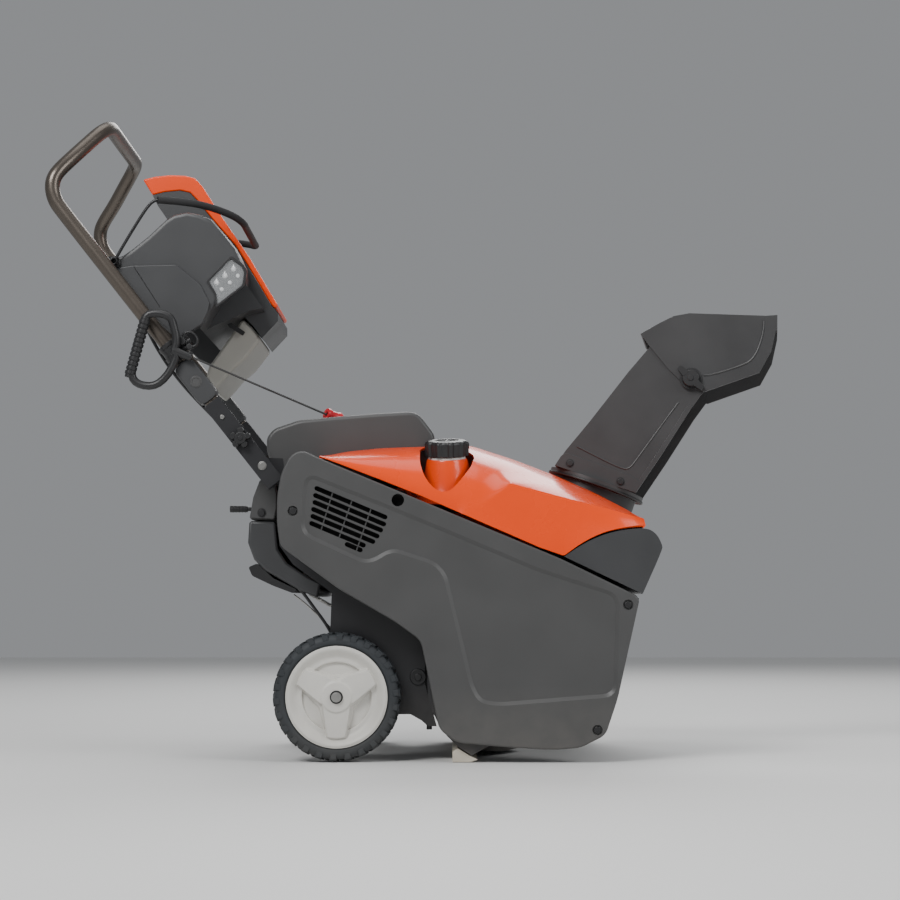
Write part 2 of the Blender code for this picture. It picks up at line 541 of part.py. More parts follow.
def drive():
    cylinder("crankshaft", (CRANK_X, -0.098, CRANK_Z), (CRANK_X, BELT_Y - PULLEY_WIDTH / 2 - GAP,
                                                        CRANK_Z), 0.011, BARE_STEEL, 20)
    half = PULLEY_WIDTH / 2
    for name, x, z, radius in (("engine_pulley", CRANK_X, CRANK_Z, ENGINE_PULLEY_RADIUS),
                               ("auger_pulley", AUGER_X, AUGER_Z, AUGER_PULLEY_RADIUS)):
        bore = AUGER_SHAFT_RADIUS + GAP if name == "auger_pulley" else 0.0
        rim = [(radius + 0.004, half), (radius + 0.004, half - 0.002), (radius - 0.001, half - 0.0035),
               (radius - 0.001, 0.0035 - half), (radius + 0.004, 0.002 - half),
               (radius + 0.004, -half)]
        if bore:
            turned(name, rim + [(bore, -half), (bore, half)], (x, BELT_Y, z), BARE_STEEL, 32, True)
        else:
            turned(name, [(0.0, half)] + rim + [(0.0, -half)], (x, BELT_Y, z), BARE_STEEL, 28)
    run = Vector((AUGER_X - CRANK_X, AUGER_Z - CRANK_Z))
    spread = math.degrees(math.asin((AUGER_PULLEY_RADIUS - ENGINE_PULLEY_RADIUS) / run.length))
    way = math.degrees(math.atan2(run.y, run.x))
    loops = []
    for extra in (BELT_THICKNESS, 0.0):
        loops.append(arc((AUGER_X, AUGER_Z), AUGER_PULLEY_RADIUS + extra, way - 90 - spread,
                         way + 90 + spread, 16)
                     + arc((CRANK_X, CRANK_Z), ENGINE_PULLEY_RADIUS + extra, way + 90 + spread,
                           way + 270 - spread, 10))
    belt = extruded("drive_belt", loops[0], BELT_Y - 0.0033, BELT_Y + 0.0033, BELT_RUBBER)
    hollow = extruded("belt_hollow", loops[1], BELT_Y - 0.02, BELT_Y + 0.02, None, cutters)
    boolean(belt, hollow)
    share = 0.35
    beside = CRANK_X + (AUGER_X - CRANK_X) * share, CRANK_Z + (AUGER_Z - CRANK_Z) * share
    reach = (ENGINE_PULLEY_RADIUS + (AUGER_PULLEY_RADIUS - ENGINE_PULLEY_RADIUS) * share
             + BELT_THICKNESS + IDLER_RADIUS + 0.0035)
    outward = Vector((-run.y, run.x)).normalized()
    hub = (beside[0] + outward.x * reach, beside[1] + outward.y * reach)
    pivot = IDLER_PIVOT
    arm = extruded("idler_arm", rounded([(hub[0] - 0.009, hub[1] - 0.006),
                                         (pivot[0] - 0.002, pivot[1] - 0.011),
                                         (pivot[0] + 0.011, pivot[1] - 0.002),
                                         (hub[0] + 0.004, hub[1] + 0.026),
                                         (hub[0] - 0.006, hub[1] + 0.026)], 0.006),
                   BELT_Y - 0.0105, BELT_Y - 0.0075, BARE_STEEL)
    wheel = cylinder("idler_wheel", (hub[0], BELT_Y - 0.0085, hub[1]), (hub[0], BELT_Y + 0.006, hub[1]),
                     IDLER_RADIUS, None, 20, cutters)
    boolean(arm, wheel, "UNION")
    turns, per_turn = 5, 8
    start = Vector((hub[0] + 0.004, BELT_Y - 0.002, hub[1] + 0.030))
    end = Vector((hub[0] + 0.046, BELT_Y - 0.002, hub[1] + 0.034))
    way = (end - start).normalized()
    side = Vector((0.0, 1.0, 0.0))
    across = way.cross(side)
    points = []
    for step in range(turns * per_turn + 1):
        angle = math.tau * step / per_turn
        centre = start.lerp(end, step / (turns * per_turn))
        points.append(centre + side * (0.004 * math.cos(angle)) + across * (0.004 * math.sin(angle)))
    tube("idler_spring", points, 0.0008, BARE_STEEL, 1)


# Wheels ---------------------------------------------------------------------------------------
def wheels():
    half = TYRE_WIDTH / 2
    for side, sign in SIDES:
        centre = (WHEEL_X, sign * WHEEL_Y, WHEEL_RADIUS)
        inner = RIM_RADIUS + GAP
        tyre = [(WHEEL_RADIUS - 0.0045, half - 0.002), (WHEEL_RADIUS, half - 0.010),
                (WHEEL_RADIUS, 0.010 - half), (WHEEL_RADIUS - 0.0045, 0.002 - half),
                (inner + 0.006, -half), (inner, 0.003 - half), (inner, half - 0.003),
                (inner + 0.006, half)]
        turned("tyre_" + side, tyre, centre, TYRE_RUBBER, 40, True, sign)
        bore = AXLE_RADIUS + GAP
        rim = [(RIM_RADIUS, half - 0.002), (RIM_RADIUS, 0.002 - half), (RIM_RADIUS - 0.004, 0.002 - half),
               (RIM_RADIUS - 0.006, half - 0.020), (0.026, half - 0.016), (0.020, 0.002 - half),
               (bore, 0.002 - half), (bore, half + 0.001), (0.023, half - 0.001),
               (0.027, half - 0.007), (0.066, half - 0.011), (0.074, half - 0.002)]
        turned("rim_" + side, rim, centre, RIM_PLASTIC, 32, True, sign)


# Chute ----------------------------------------------------------------------------------------
DEFLECTOR_PIVOT = (0.0984, 0.2195)


def chute_group():
    """Ring, chute and deflector, drawn upright about the ring's centre and then placed."""
    ring = turned("chute_ring", [(RING_RADIUS + 0.012, 0.004), (RING_RADIUS + 0.012, 0.0),
                                 (RING_RADIUS - GAP, 0.0), (RING_RADIUS - GAP, -0.135),
                                 (RING_RADIUS - 0.004, -0.135), (RING_RADIUS - 0.004, 0.004)],
                  (0, 0, 0), BLACK_PLASTIC, 32, True)
    wall = CHUTE_WALL
    half = CHUTE_HALF_WIDTH
    back = [(-0.0690, 0.0098), (-0.060, 0.040), (-0.038, 0.099), (-0.004, 0.199), (0.016, 0.250)]
    edge = [(0.0605, 0.237), (0.125, 0.207), (0.114, 0.171), (0.094, 0.086), (0.0740, 0.0098)]
    chute = extruded("chute", back + edge, -half, half, BLACK_PLASTIC)
    chute_pins = []
    within = [(x + wall, z) for x, z in back]
    within[0] = (back[0][0] + wall - 0.004, -0.01)
    within[-1] = (0.024, 0.270)
    room = extruded("chute_room", within + [(0.30, 0.27), (0.30, -0.01)], wall - half, half - wall,
                    None, cutters)
    boolean(chute, room)
    foot = cylinder("chute_foot", (0, 0, 0.0043), (0, 0, 0.0100), RING_RADIUS + 0.010, None, 40,
                    cutters)
    boolean(chute, foot, "UNION")
    throat = cylinder("chute_throat", (0, 0, -0.01), (0, 0, 0.0098), 0.0640, None, 40, cutters)
    boolean(chute, throat)
    pins = cylinder("deflector_pins", (DEFLECTOR_PIVOT[0], -0.1, DEFLECTOR_PIVOT[1]),
                    (DEFLECTOR_PIVOT[0], 0.1, DEFLECTOR_PIVOT[1]), 0.0045, None, 16, cutters)
    ears = extruded("deflector_ears", rounded([(0.08, 0.20), (0.12, 0.20), (0.118, 0.236),
                                               (0.084, 0.240)], 0.008, 2), -half, half, None,
                    cutters)
    boolean(chute, ears, "UNION")
    room_two = extruded("ear_room", [(0.07, 0.17), (0.16, 0.17), (0.16, 0.26), (0.07, 0.26)],
                        wall - half, half - wall, None, cutters)
    boolean(chute, room_two)
    outer = half + wall + GAP
    for side, sign in SIDES:
        pin = cylinder("deflector_pin_" + side,
                       (DEFLECTOR_PIVOT[0], sign * (half - wall * 0.5), DEFLECTOR_PIVOT[1]),
                       (DEFLECTOR_PIVOT[0], sign * (outer - wall * 0.45), DEFLECTOR_PIVOT[1]),
                       0.0042, None, 16, cutters)
        boolean(chute, pin, "UNION")
        chute_pins.append(pin)
    shape = [(-0.006, 0.265), (0.018, 0.292), (0.037, 0.311), (0.060, 0.3235), (0.182, 0.359),
             (0.199, 0.366), (0.204, 0.349), (0.209, 0.306), (0.202, 0.265), (0.127, 0.206),
             (0.098, 0.204), (0.060, 0.222), (0.015, 0.250)]
    deflector = extruded("deflector", shape, -outer, outer, BLACK_PLASTIC)
    hollow = [(-0.001, 0.262), (0.021, 0.289), (0.039, 0.307), (0.061, 0.3195), (0.182, 0.355),
              (0.30, 0.39), (0.30, 0.10), (0.05, 0.10), (-0.02, 0.24)]
    void = extruded("deflector_room", hollow, wall - outer, outer - wall, None, cutters)
    boolean(deflector, void)
    boolean(deflector, pins)
    knobs = []
    for side, sign in SIDES:
        x, z = DEFLECTOR_PIVOT
        knob = cylinder("deflector_knob_" + side, (x, sign * (outer + GAP), z),
                        (x, sign * (outer + 0.013), z), 0.0155, BLACK_PLASTIC, 18)
        bar = block("knob_bar_" + side, (x - 0.026, sign * outer + (-0.013 if sign < 0 else 0.004),
                                         z - 0.005),
                    (x + 0.026, sign * outer + (-0.004 if sign < 0 else 0.013), z + 0.005), None,
                    cutters)
        boolean(knob, bar, "UNION")
        stem = cylinder("knob_stem_" + side, (x, sign * (outer - wall * 0.35), z),
                        (x, sign * (outer + 0.005), z), 0.0042, None, 14, cutters)
        boolean(knob, stem, "UNION")
        knobs += [knob, bar, stem]
    base = Matrix.Translation(RING_CENTRE) @ Matrix.Rotation(RING_TILT, 4, "Y")
    swung = base @ Matrix.Rotation(CHUTE_TURN, 4, "Z")
    ring.matrix_world = base
    for piece in [chute, room, foot, throat, pins, ears, room_two, deflector, void] + knobs + chute_pins:
        piece.matrix_world = swung


# Handle ---------------------------------------------------------------------------------------
def along_handle(distance, across=0.0):
    """A point on the handle's line: `distance` up it from the fold pivot, `across` forward."""
    up = Vector((math.cos(HANDLE_RISE), 0.0, math.sin(HANDLE_RISE)))
    forward = Vector((math.sin(HANDLE_RISE), 0.0, -math.cos(HANDLE_RISE)))
    return FOLD_PIVOT + up * distance + forward * across


def handle_outline(spots):
    made = []
    for distance, across in spots:
        spot = along_handle(distance, across)
        made.append((spot.x, spot.z))
    return made


HANDLE_HALF = [(-0.640, 0.877), (-0.649, 0.892), (-0.654, 0.908), (-0.6545, 0.920)]
HANDLE_CROSS = [(-0.651, 0.003, 0.932), (-0.642, 0.009, 0.945), (-0.629, 0.020, 0.961),
                (-0.603, 0.049, 0.997), (-0.592, 0.062, 1.011), (-0.583, 0.078, 1.022),
                (-0.578, 0.094, 1.028), (-0.577, 0.112, 1.030)]


def handle():
    start = along_handle(-0.018)
    right = [(start.x, -HANDLE_Y, start.z)] + [(x, -HANDLE_Y, z) for x, z in HANDLE_HALF]
    right += [(x, in_by - HANDLE_Y, z) for x, in_by, z in HANDLE_CROSS]
    points = right + [(x, -y, z) for x, y, z in reversed(right)]
    tube("handle_loop", points, HANDLE_TUBE_RADIUS, HANDLE_STEEL, 3)
    for side, sign in SIDES:
        y = sign * HANDLE_Y
        room = HANDLE_TUBE_RADIUS + 0.0012
        wall = 0.0025
        back = HANDLE_TUBE_RADIUS + 0.0010
        outline = handle_outline([(-0.035, -back - wall), (0.130, -back - wall), (0.130, 0.0135),
                                  (-0.035, 0.0135)])
        bracket = extruded("handle_bracket_" + side, outline, y - room - wall, y + room + wall,
                           BLACK_STEEL)
        for number, distance in enumerate((-0.018, 0.040)):
            spot = along_handle(distance, -0.004)
            boss = cylinder(f"bracket_boss_{side}_{number}",
                            (spot.x, sign * (FRAME_Y + GAP), spot.z),
                            (spot.x, sign * (HANDLE_Y - room), spot.z), 0.008, None, 14, cutters)
            boolean(bracket, boss, "UNION")
        trough = handle_outline([(-0.06, -back), (0.16, -back), (0.16, 0.05), (-0.06, 0.05)])
        channel = extruded("channel_" + side, trough, y - room, y + room, None, cutters)
        boolean(bracket, channel)
        swing = handle_outline([(-0.06, -0.03), (0.018, -0.03), (0.018, 0.0), (-0.06, 0.0)])
        boolean(bracket, extruded("swing_room_" + side, swing, y - room, y + room, None, cutters))
        for number, distance in enumerate((0.0, 0.055)):
            spot = along_handle(distance)
            hole = cylinder(f"bracket_hole_{side}_{number}", (spot.x, y - 0.03, spot.z),
                            (spot.x, y + 0.03, spot.z), 0.0048, None, 16, cutters)
            boolean(bracket, hole)
        cover_line = handle_outline([(0.133, -0.018), (0.205, -0.018), (0.212, 0.0),
                                     (0.205, 0.018), (0.133, 0.018)])
        shell = HANDLE_TUBE_RADIUS + 0.0043
        cover = extruded("bracket_cover_" + side, rounded(cover_line, 0.012, 3), y - shell,
                         y + shell, DARK_PLASTIC)
        soften(cover, 0.004, 2, 60)
        low, high = along_handle(0.10), along_handle(0.24)
        bore = cylinder("cover_bore_" + side, (low.x, y, low.z), (high.x, y, high.z),
                        (HANDLE_TUBE_RADIUS + GAP) / math.cos(math.pi / 16), None, 16, cutters)
        boolean(cover, bore)
        spot = along_handle(0.055)
        outside = y + sign * (room + wall + GAP)
        knob = cylinder("fold_knob_" + side, (spot.x, outside, spot.z),
                        (spot.x, outside + sign * 0.016, spot.z), 0.017, BLACK_PLASTIC, 20)
        for number in range(5):
            angle = math.tau * number / 5
            rim = Vector((spot.x + 0.0195 * math.cos(angle), 0.0, spot.z + 0.0195 * math.sin(angle)))
            notch = cylinder(f"notch_{side}_{number}", (rim.x, outside - sign * 0.01, rim.z),
                             (rim.x, outside + sign * 0.03, rim.z), 0.0055, None, 10, cutters)
            boolean(knob, notch)


SHELL_LINE = [(-0.5710, 0.7860), (-0.5620, 0.8030), (-0.5450, 0.8080), (-0.5281, 0.8199),
              (-0.5040, 0.8396), (-0.4766, 0.8658), (-0.4637, 0.8740), (-0.4426, 0.8789),
              (-0.4231, 0.8756), (-0.4019, 0.8674), (-0.3823, 0.8445), (-0.3626, 0.8199),
              (-0.3520, 0.7970), (-0.3500, 0.7680), (-0.3930, 0.7290), (-0.4030, 0.7157),
              (-0.4127, 0.6947), (-0.4460, 0.6736), (-0.4620, 0.6820)]
SHELL_ROOM = [(-0.5520, 0.7920), (-0.5250, 0.8125), (-0.5000, 0.8325), (-0.4730, 0.8580),
              (-0.4610, 0.8670), (-0.4440, 0.8722), (-0.4260, 0.8695), (-0.4070, 0.8620),
              (-0.3880, 0.8400), (-0.3720, 0.8190), (-0.3720, 0.7580), (-0.4010, 0.7300),
              (-0.4095, 0.7140), (-0.4200, 0.6900), (-0.4450, 0.6600), (-0.5000, 0.6700)]
COVER_SEAT = [(-0.3090, 0.7366), (-0.3156, 0.7449), (-0.3525, 0.8068), (-0.3744, 0.8420),
              (-0.4112, 0.8840), (-0.4381, 0.9176), (-0.4499, 0.9300), (-0.4666, 0.9336),
              (-0.4915, 0.9311), (-0.5123, 0.9260)]
COVER_TOP = [(-0.5284, 0.9521), (-0.5084, 0.9571), (-0.4834, 0.9598), (-0.4585, 0.9588),
             (-0.4418, 0.9546), (-0.4283, 0.9395), (-0.3997, 0.8941), (-0.3493, 0.8202),
             (-0.3157, 0.7633), (-0.3035, 0.7433), (-0.3035, 0.7380)]
TOWER_FOOT = [(-0.5030, 0.9075), (-0.4878, 0.8857), (-0.5200, 0.8000), (-0.4600, 0.7000),
              (-0.4478, 0.6749), (-0.3785, 0.7166), (-0.3603, 0.7249), (-0.3419, 0.7049),
              (-0.3286, 0.6865), (-0.3022, 0.7149), (-0.3023, 0.7282)]
TOWER_ROOM = [(-0.4850, 0.8400), (-0.4795, 0.8870), (-0.4945, 0.9090), (-0.5010, 0.9200),
              (-0.4900, 0.9245), (-0.4666, 0.9272), (-0.4530, 0.9245), (-0.4430, 0.9138),
              (-0.4160, 0.8800), (-0.3800, 0.8390), (-0.3585, 0.8035), (-0.3215, 0.7415),
              (-0.3090, 0.7260), (-0.3090, 0.7175), (-0.3286, 0.6960), (-0.3400, 0.7140),
              (-0.3590, 0.7330), (-0.3800, 0.7300)]
SHOULDER_LINE = [(-0.4600, 0.7200), (-0.4464, 0.6766), (-0.4040, 0.7005), (-0.3450, 0.7265),
                 (-0.3235, 0.7300), (-0.3310, 0.7410), (-0.3500, 0.7675), (-0.3600, 0.8000),
                 (-0.4000, 0.8400)]
SHOULDER_HALF_WIDTH = 0.150
LAMP_LINE = [(-0.3706, 0.8046), (-0.3514, 0.7916), (-0.3464, 0.7819), (-0.3495, 0.7590),
             (-0.3929, 0.7249), (-0.3946, 0.7444), (-0.4077, 0.7656)]


def console():
    """Dark shell with a raised middle, its orange cover, two headlights and the under-shield."""
    half = CONSOLE_HALF_WIDTH
    shell = extruded("console_shell", SHELL_LINE, -half, half, DARK_PLASTIC)
    soften(shell, 0.008, 2, 30)
    shoulder = extruded("shoulder", SHOULDER_LINE, -SHOULDER_HALF_WIDTH, SHOULDER_HALF_WIDTH, None,
                        cutters)
    boolean(shell, shoulder, "UNION")
    tower_half = TOWER_HALF_WIDTH - 0.001
    tower = extruded("tower", COVER_SEAT + TOWER_FOOT, -tower_half, tower_half, None, cutters)
    boolean(shell, tower, "UNION")
    wall = 0.006
    boolean(shell, extruded("shell_room", SHELL_ROOM, wall - half, half - wall, None, cutters))
    boolean(shell, extruded("tower_room", TOWER_ROOM, wall - tower_half, tower_half - wall, None,
                            cutters))
    for side, sign in SIDES:
        pin = cylinder("bail_bore_" + side, (BAIL_PIVOT.x, sign * (half - 0.011), BAIL_PIVOT.z),
                       (BAIL_PIVOT.x, sign * (half + 0.1), BAIL_PIVOT.z), BAIL_WIRE_RADIUS + GAP,
                       None, 12, cutters)
        boolean(shell, pin)
    seat = [(x - 0.0004, z - 0.0004) for x, z in COVER_SEAT]
    seat += [(-0.56, 0.9250), (-0.56, 1.0), (-0.25, 1.0), (-0.25, seat[0][1])]
    boolean(shell, extruded("cover_seat", seat, -TOWER_HALF_WIDTH - GAP, TOWER_HALF_WIDTH + GAP,
                            None, cutters))
    cover = extruded("console_cover", COVER_TOP + COVER_SEAT, -TOWER_HALF_WIDTH, TOWER_HALF_WIDTH,
                     ORANGE_PLASTIC)
    soften(cover, 0.004, 2, 50)
    middle = Vector((-0.375, 0.765))
    for side, sign in SIDES:
        inner_y, outer_y = sign * (SHOULDER_HALF_WIDTH + 0.001), sign * (half - 0.008)
        lamp = extruded("headlight_" + side, LAMP_LINE, inner_y, outer_y, LENS_PLASTIC)
        soften(lamp, 0.002, 1, 30)
        grown = [tuple(middle + (Vector(spot) - middle) * 1.03) for spot in LAMP_LINE]
        pocket = extruded("lamp_pocket_" + side, grown, inner_y - sign * 0.0005,
                          sign * (half + 0.02), None, cutters)
        boolean(shell, pocket)
    shield_line = [(-0.3300, 0.6855), (-0.3570, 0.6504), (-0.3768, 0.6338), (-0.3949, 0.6121),
                   (-0.4097, 0.5971), (-0.4215, 0.6238), (-0.4166, 0.6404), (-0.4117, 0.6471),
                   (-0.3780, 0.6955), (-0.3620, 0.7200), (-0.3430, 0.7030)]
    shield = extruded("under_shield", shield_line, -0.100, 0.100, BEIGE_PLASTIC)
    soften(shield, 0.004, 1, 30)


def handle_fittings():
    """The cross bar with the rope holder, and the control cable down the near tube."""
    y = -HANDLE_Y
    clamp_low, clamp_high = along_handle(0.216), along_handle(0.246)
    clamp = cylinder("rope_holder", (clamp_low.x, y, clamp_low.z), (clamp_high.x, y, clamp_high.z),
                     0.0160, BLACK_PLASTIC, 18)
    post_low, post_high = along_handle(0.231, 0.010), along_handle(0.231, 0.034)
    post = cylinder("holder_post", (post_low.x, y + 0.008, post_low.z),
                    (post_high.x, y + 0.008, post_high.z), 0.0085, None, 14, cutters)
    boolean(clamp, post, "UNION")
    low, high = along_handle(0.19), along_handle(0.28)
    bore = cylinder("holder_bore", (low.x, y, low.z), (high.x, y, high.z),
                    (HANDLE_TUBE_RADIUS + GAP) / math.cos(math.pi / 16), None, 16, cutters)
    boolean(clamp, bore)
    cable_y = -(CONSOLE_HALF_WIDTH + 0.0055)
    route = []
    for distance, across in ((0.375, 0.006), (0.350, 0.003), (0.320, -0.004), (0.285, -0.012),
                             (0.250, -0.018), (0.210, -0.021), (0.170, -0.020), (0.130, -0.016),
                             (0.095, -0.012)):
        spot = along_handle(distance, across)
        route.append((spot.x, cable_y, spot.z))
    tube("control_cable", route, 0.0028, BLACK_PLASTIC, 1)


GRIP_POINTS = [(-0.4855, 0.0002, 0.8965), (-0.452, 0.0165, 0.8965), (-0.420, 0.0345, 0.8945),
               (-0.392, 0.0575, 0.889), (-0.372, 0.0765, 0.883), (-0.3625, 0.0925, 0.878),
               (-0.359, 0.1105, 0.876)]


def bail():
    """The squeeze bar: a wire up each side of the console and a thick grip between them."""
    rise = [(-0.553, 0.803), (-0.541, 0.825), (-0.513, 0.872), (-0.501, 0.889), (-0.494, 0.8945),
            (-0.4880, 0.8965)]
    for side, sign in SIDES:
        points = [(BAIL_PIVOT.x, sign * (CONSOLE_HALF_WIDTH - 0.010), BAIL_PIVOT.z),
                  (BAIL_PIVOT.x, sign * (BAIL_Y - 0.002), BAIL_PIVOT.z)]
        points += [(x, sign * BAIL_Y, z) for x, z in rise]
        tube("bail_wire_" + side, points, BAIL_WIRE_RADIUS, BARE_STEEL, 2)
    right = [(x, in_by - BAIL_Y, z) for x, in_by, z in GRIP_POINTS]
    whole = right + [(x, -y, z) for x, y, z in reversed(right)]
    tube("bail_grip", whole, BAIL_GRIP_RADIUS, BLACK_PLASTIC, 2)


ROPE_GUIDE = Vector((-0.214, -0.110, 0.5570))
ROPE_TOP = Vector((-0.424, -HANDLE_Y - 0.025, 0.6350))
ROPE_WAY = (ROPE_TOP - ROPE_GUIDE).normalized()


def recoil():
    guide = cylinder("rope_guide", ROPE_GUIDE - ROPE_WAY * 0.018, ROPE_GUIDE + ROPE_WAY * 0.010,
                     0.0090, RED_PLASTIC, 20)
    bore = cylinder("rope_bore", ROPE_GUIDE - ROPE_WAY * 0.05, ROPE_GUIDE + ROPE_WAY * 0.05, 0.0030,
                    None, 12, cutters)
    boolean(guide, bore)
    cylinder("recoil_rope", ROPE_GUIDE - ROPE_WAY * 0.016, ROPE_TOP - ROPE_WAY * 0.0025, 0.0018,
             ROPE_FIBRE, 10)
    y = ROPE_TOP.y
    outer = rounded([(-0.452, 0.708), (-0.503, 0.713), (-0.520, 0.655), (-0.529, 0.606),
                     (-0.518, 0.590), (-0.487, 0.584), (-0.453, 0.612), (-0.442, 0.655)], 0.012, 2)
    inner = rounded([(-0.462, 0.697), (-0.494, 0.700), (-0.507, 0.655), (-0.514, 0.610),
                     (-0.508, 0.601), (-0.488, 0.597), (-0.464, 0.618), (-0.454, 0.655)], 0.010, 2)
    ring = extruded("recoil_handle", outer, y - 0.0075, y + 0.0075, BLACK_PLASTIC)
    soften(ring, 0.003, 1, 60)
    hole = extruded("handle_gap", inner, y - 0.03, y + 0.03, None, cutters)
    boolean(ring, hole)
    neck = cylinder("handle_neck", (-0.452, y, 0.646), (-0.4245, y, 0.6352), 0.0068, None, 14,
                    cutters)
    boolean(ring, neck, "UNION")


for side_name, side_sign in SIDES:
    side_panel(side_name, side_sign)
hood()
rear_top_cover()
front_cap()
rear_covers()
frame()
auger_housing()
auger()
engine()
drive()
wheels()
chute_group()
handle()
console()
handle_fittings()
bail()
recoil()
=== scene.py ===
"""Looks for a single-stage snow blower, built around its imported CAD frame."""

import json
import math

import bmesh
import bpy
from mathutils import Matrix, Vector

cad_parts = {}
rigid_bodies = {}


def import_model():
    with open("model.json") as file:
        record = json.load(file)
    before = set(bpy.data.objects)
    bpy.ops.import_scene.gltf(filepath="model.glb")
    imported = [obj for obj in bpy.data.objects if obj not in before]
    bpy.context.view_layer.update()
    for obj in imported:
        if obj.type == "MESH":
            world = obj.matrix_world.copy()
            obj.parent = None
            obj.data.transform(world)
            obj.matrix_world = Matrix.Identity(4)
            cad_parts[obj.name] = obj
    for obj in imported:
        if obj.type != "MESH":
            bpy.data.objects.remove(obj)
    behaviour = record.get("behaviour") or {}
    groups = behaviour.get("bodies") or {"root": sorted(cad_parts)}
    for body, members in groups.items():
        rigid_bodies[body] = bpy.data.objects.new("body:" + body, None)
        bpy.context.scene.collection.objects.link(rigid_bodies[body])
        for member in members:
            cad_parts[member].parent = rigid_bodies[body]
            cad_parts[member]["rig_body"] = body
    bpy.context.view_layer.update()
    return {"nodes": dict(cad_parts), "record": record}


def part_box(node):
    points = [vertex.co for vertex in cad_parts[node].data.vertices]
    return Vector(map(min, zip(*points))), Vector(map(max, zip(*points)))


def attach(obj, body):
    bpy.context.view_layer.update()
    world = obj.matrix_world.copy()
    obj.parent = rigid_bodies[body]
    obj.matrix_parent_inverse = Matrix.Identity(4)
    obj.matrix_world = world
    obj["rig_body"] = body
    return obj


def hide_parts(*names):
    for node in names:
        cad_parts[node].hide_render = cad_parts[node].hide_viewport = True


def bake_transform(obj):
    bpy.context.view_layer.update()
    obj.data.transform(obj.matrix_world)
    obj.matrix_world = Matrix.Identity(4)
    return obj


bl_info = {
    "name": "Snow blower looks",
    "version": (1, 0, 0),
    "blender": (4, 5, 0),
    "location": "3D View > Sidebar > Snow blower",
    "description": "Builds the visible pieces and finishes of a snow blower on its CAD frame",
    "category": "Object",
}

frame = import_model()
NODES = frame["nodes"]
NODE_SLOTS = {part["node"]: part["material_slot"] for part in frame["record"]["subparts"]}
JOINTS = {joint["name"]: joint for joint in frame["record"]["behaviour"]["joints"]}
SIDES = (("right", -1.0), ("left", 1.0))

# Sizes that the pieces are built to, in metres unless they are angles in degrees
SHARP_ANGLE = 35.0
MERGE_DISTANCE = 0.000005
CAD_MERGE_DISTANCE = 0.00002
CAD_FLAT_ANGLE = 0.5
BUMP_STRENGTH = 0.6
COAT_ROUGHNESS = 0.08
POCKET_DEPTH = 0.0036
POCKET_LEAN = 0.0060
POCKET_CORNER = 0.016
GRILLE_HALF = 0.0036
SCREW_SEAT_DEPTH = 0.0045
SCREW_SEAT_RADIUS = 0.0080
SEAM_GAP = 0.0018
SEAM_CORNER_END = 0.178
CREASE_FROM, CREASE_SPAN = 0.55, 0.45
CREASE_ANGLE = 32.0
HOOD_WALL = 0.0032
HOOD_LIP_X = 0.2885
HOOD_LIP_WALL = 0.0020
WELL_RADIUS = 0.0435
RING_HOLE_RADIUS = 0.0728
CAP_SCALLOPS = 10
CAP_SCALLOP_DEPTH = 0.0034
RIM_HOLE_RADIUS = 0.0088
RIM_REACH = 0.0785
RIM_WALL = 0.0030
RIM_ARM_ANGLES = (-90, 30, 150)
CHUTE_HALF, DEFLECTOR_HALF = 0.0700, 0.0733
CHUTE_TURN_AT_REST = -9.0
TUBE_RADIUS = 0.0120
HANDLE_SLOPE = 128.4
WIRE_RADIUS = 0.0025
STRAND_RADIUS = 0.00098
STRAND_OFFSET = 0.00085
STRAND_LAY = 0.012
CAMERA_PLACE = (-0.017, -3.70, 0.2535)
CAMERA_TILT = 3.93
CAMERA_LENS = 87.3
FLOOR_DROP = 0.0005


# Settings -------------------------------------------------------------------------------------
class SnowBlowerColours(bpy.types.PropertyGroup):
    """Base colours of the main finishes."""

    body: bpy.props.FloatVectorProperty(
        name="Body plastic", description="Side panels and covers", subtype="COLOR", size=3,
        min=0.0, max=1.0, default=(0.058, 0.058, 0.058))
    console: bpy.props.FloatVectorProperty(
        name="Console plastic", description="Handle console and chute", subtype="COLOR", size=3,
        min=0.0, max=1.0, default=(0.040, 0.041, 0.043))
    hood: bpy.props.FloatVectorProperty(
        name="Hood paint", description="Hood and console cover", subtype="COLOR", size=3,
        min=0.0, max=1.0, default=(0.90, 0.062, 0.0))
    rim: bpy.props.FloatVectorProperty(
        name="Rim plastic", description="Wheel rims", subtype="COLOR", size=3,
        min=0.0, max=1.0, default=(0.60, 0.585, 0.545))
    handle: bpy.props.FloatVectorProperty(
        name="Handle paint", description="Handle tube", subtype="COLOR", size=3,
        min=0.0, max=1.0, default=(0.115, 0.098, 0.083))


class SnowBlowerSizes(bpy.types.PropertyGroup):
    """Sizes of the added detail."""

    lug_count: bpy.props.IntProperty(
        name="Tyre lugs", description="Lugs round each shoulder of a tyre", default=26, min=8,
        max=60)
    lug_height: bpy.props.FloatProperty(
        name="Lug height", description="How far the lugs stand above the casing", default=0.0035,
        min=0.001, max=0.008, unit="LENGTH")
    grip_ribs: bpy.props.IntProperty(
        name="Pull handle ribs", description="Ribs along the recoil handle's grip", default=12,
        min=4, max=24)


# Node groups ----------------------------------------------------------------------------------
def group_sockets(group, inputs, outputs):
    for name, kind, default in inputs:
        socket = group.interface.new_socket(name=name, in_out="INPUT", socket_type=kind)
        socket.default_value = default
    for name, kind in outputs:
        group.interface.new_socket(name=name, in_out="OUTPUT", socket_type=kind)


def math_node(group, operation, *values):
    """A Math node whose inputs are sockets or plain numbers."""
    made = group.nodes.new("ShaderNodeMath")
    made.operation = operation
    for taken, value in zip(made.inputs, values):
        if isinstance(value, float):
            taken.default_value = value
        else:
            group.links.new(value, taken)
    return made.outputs[0]


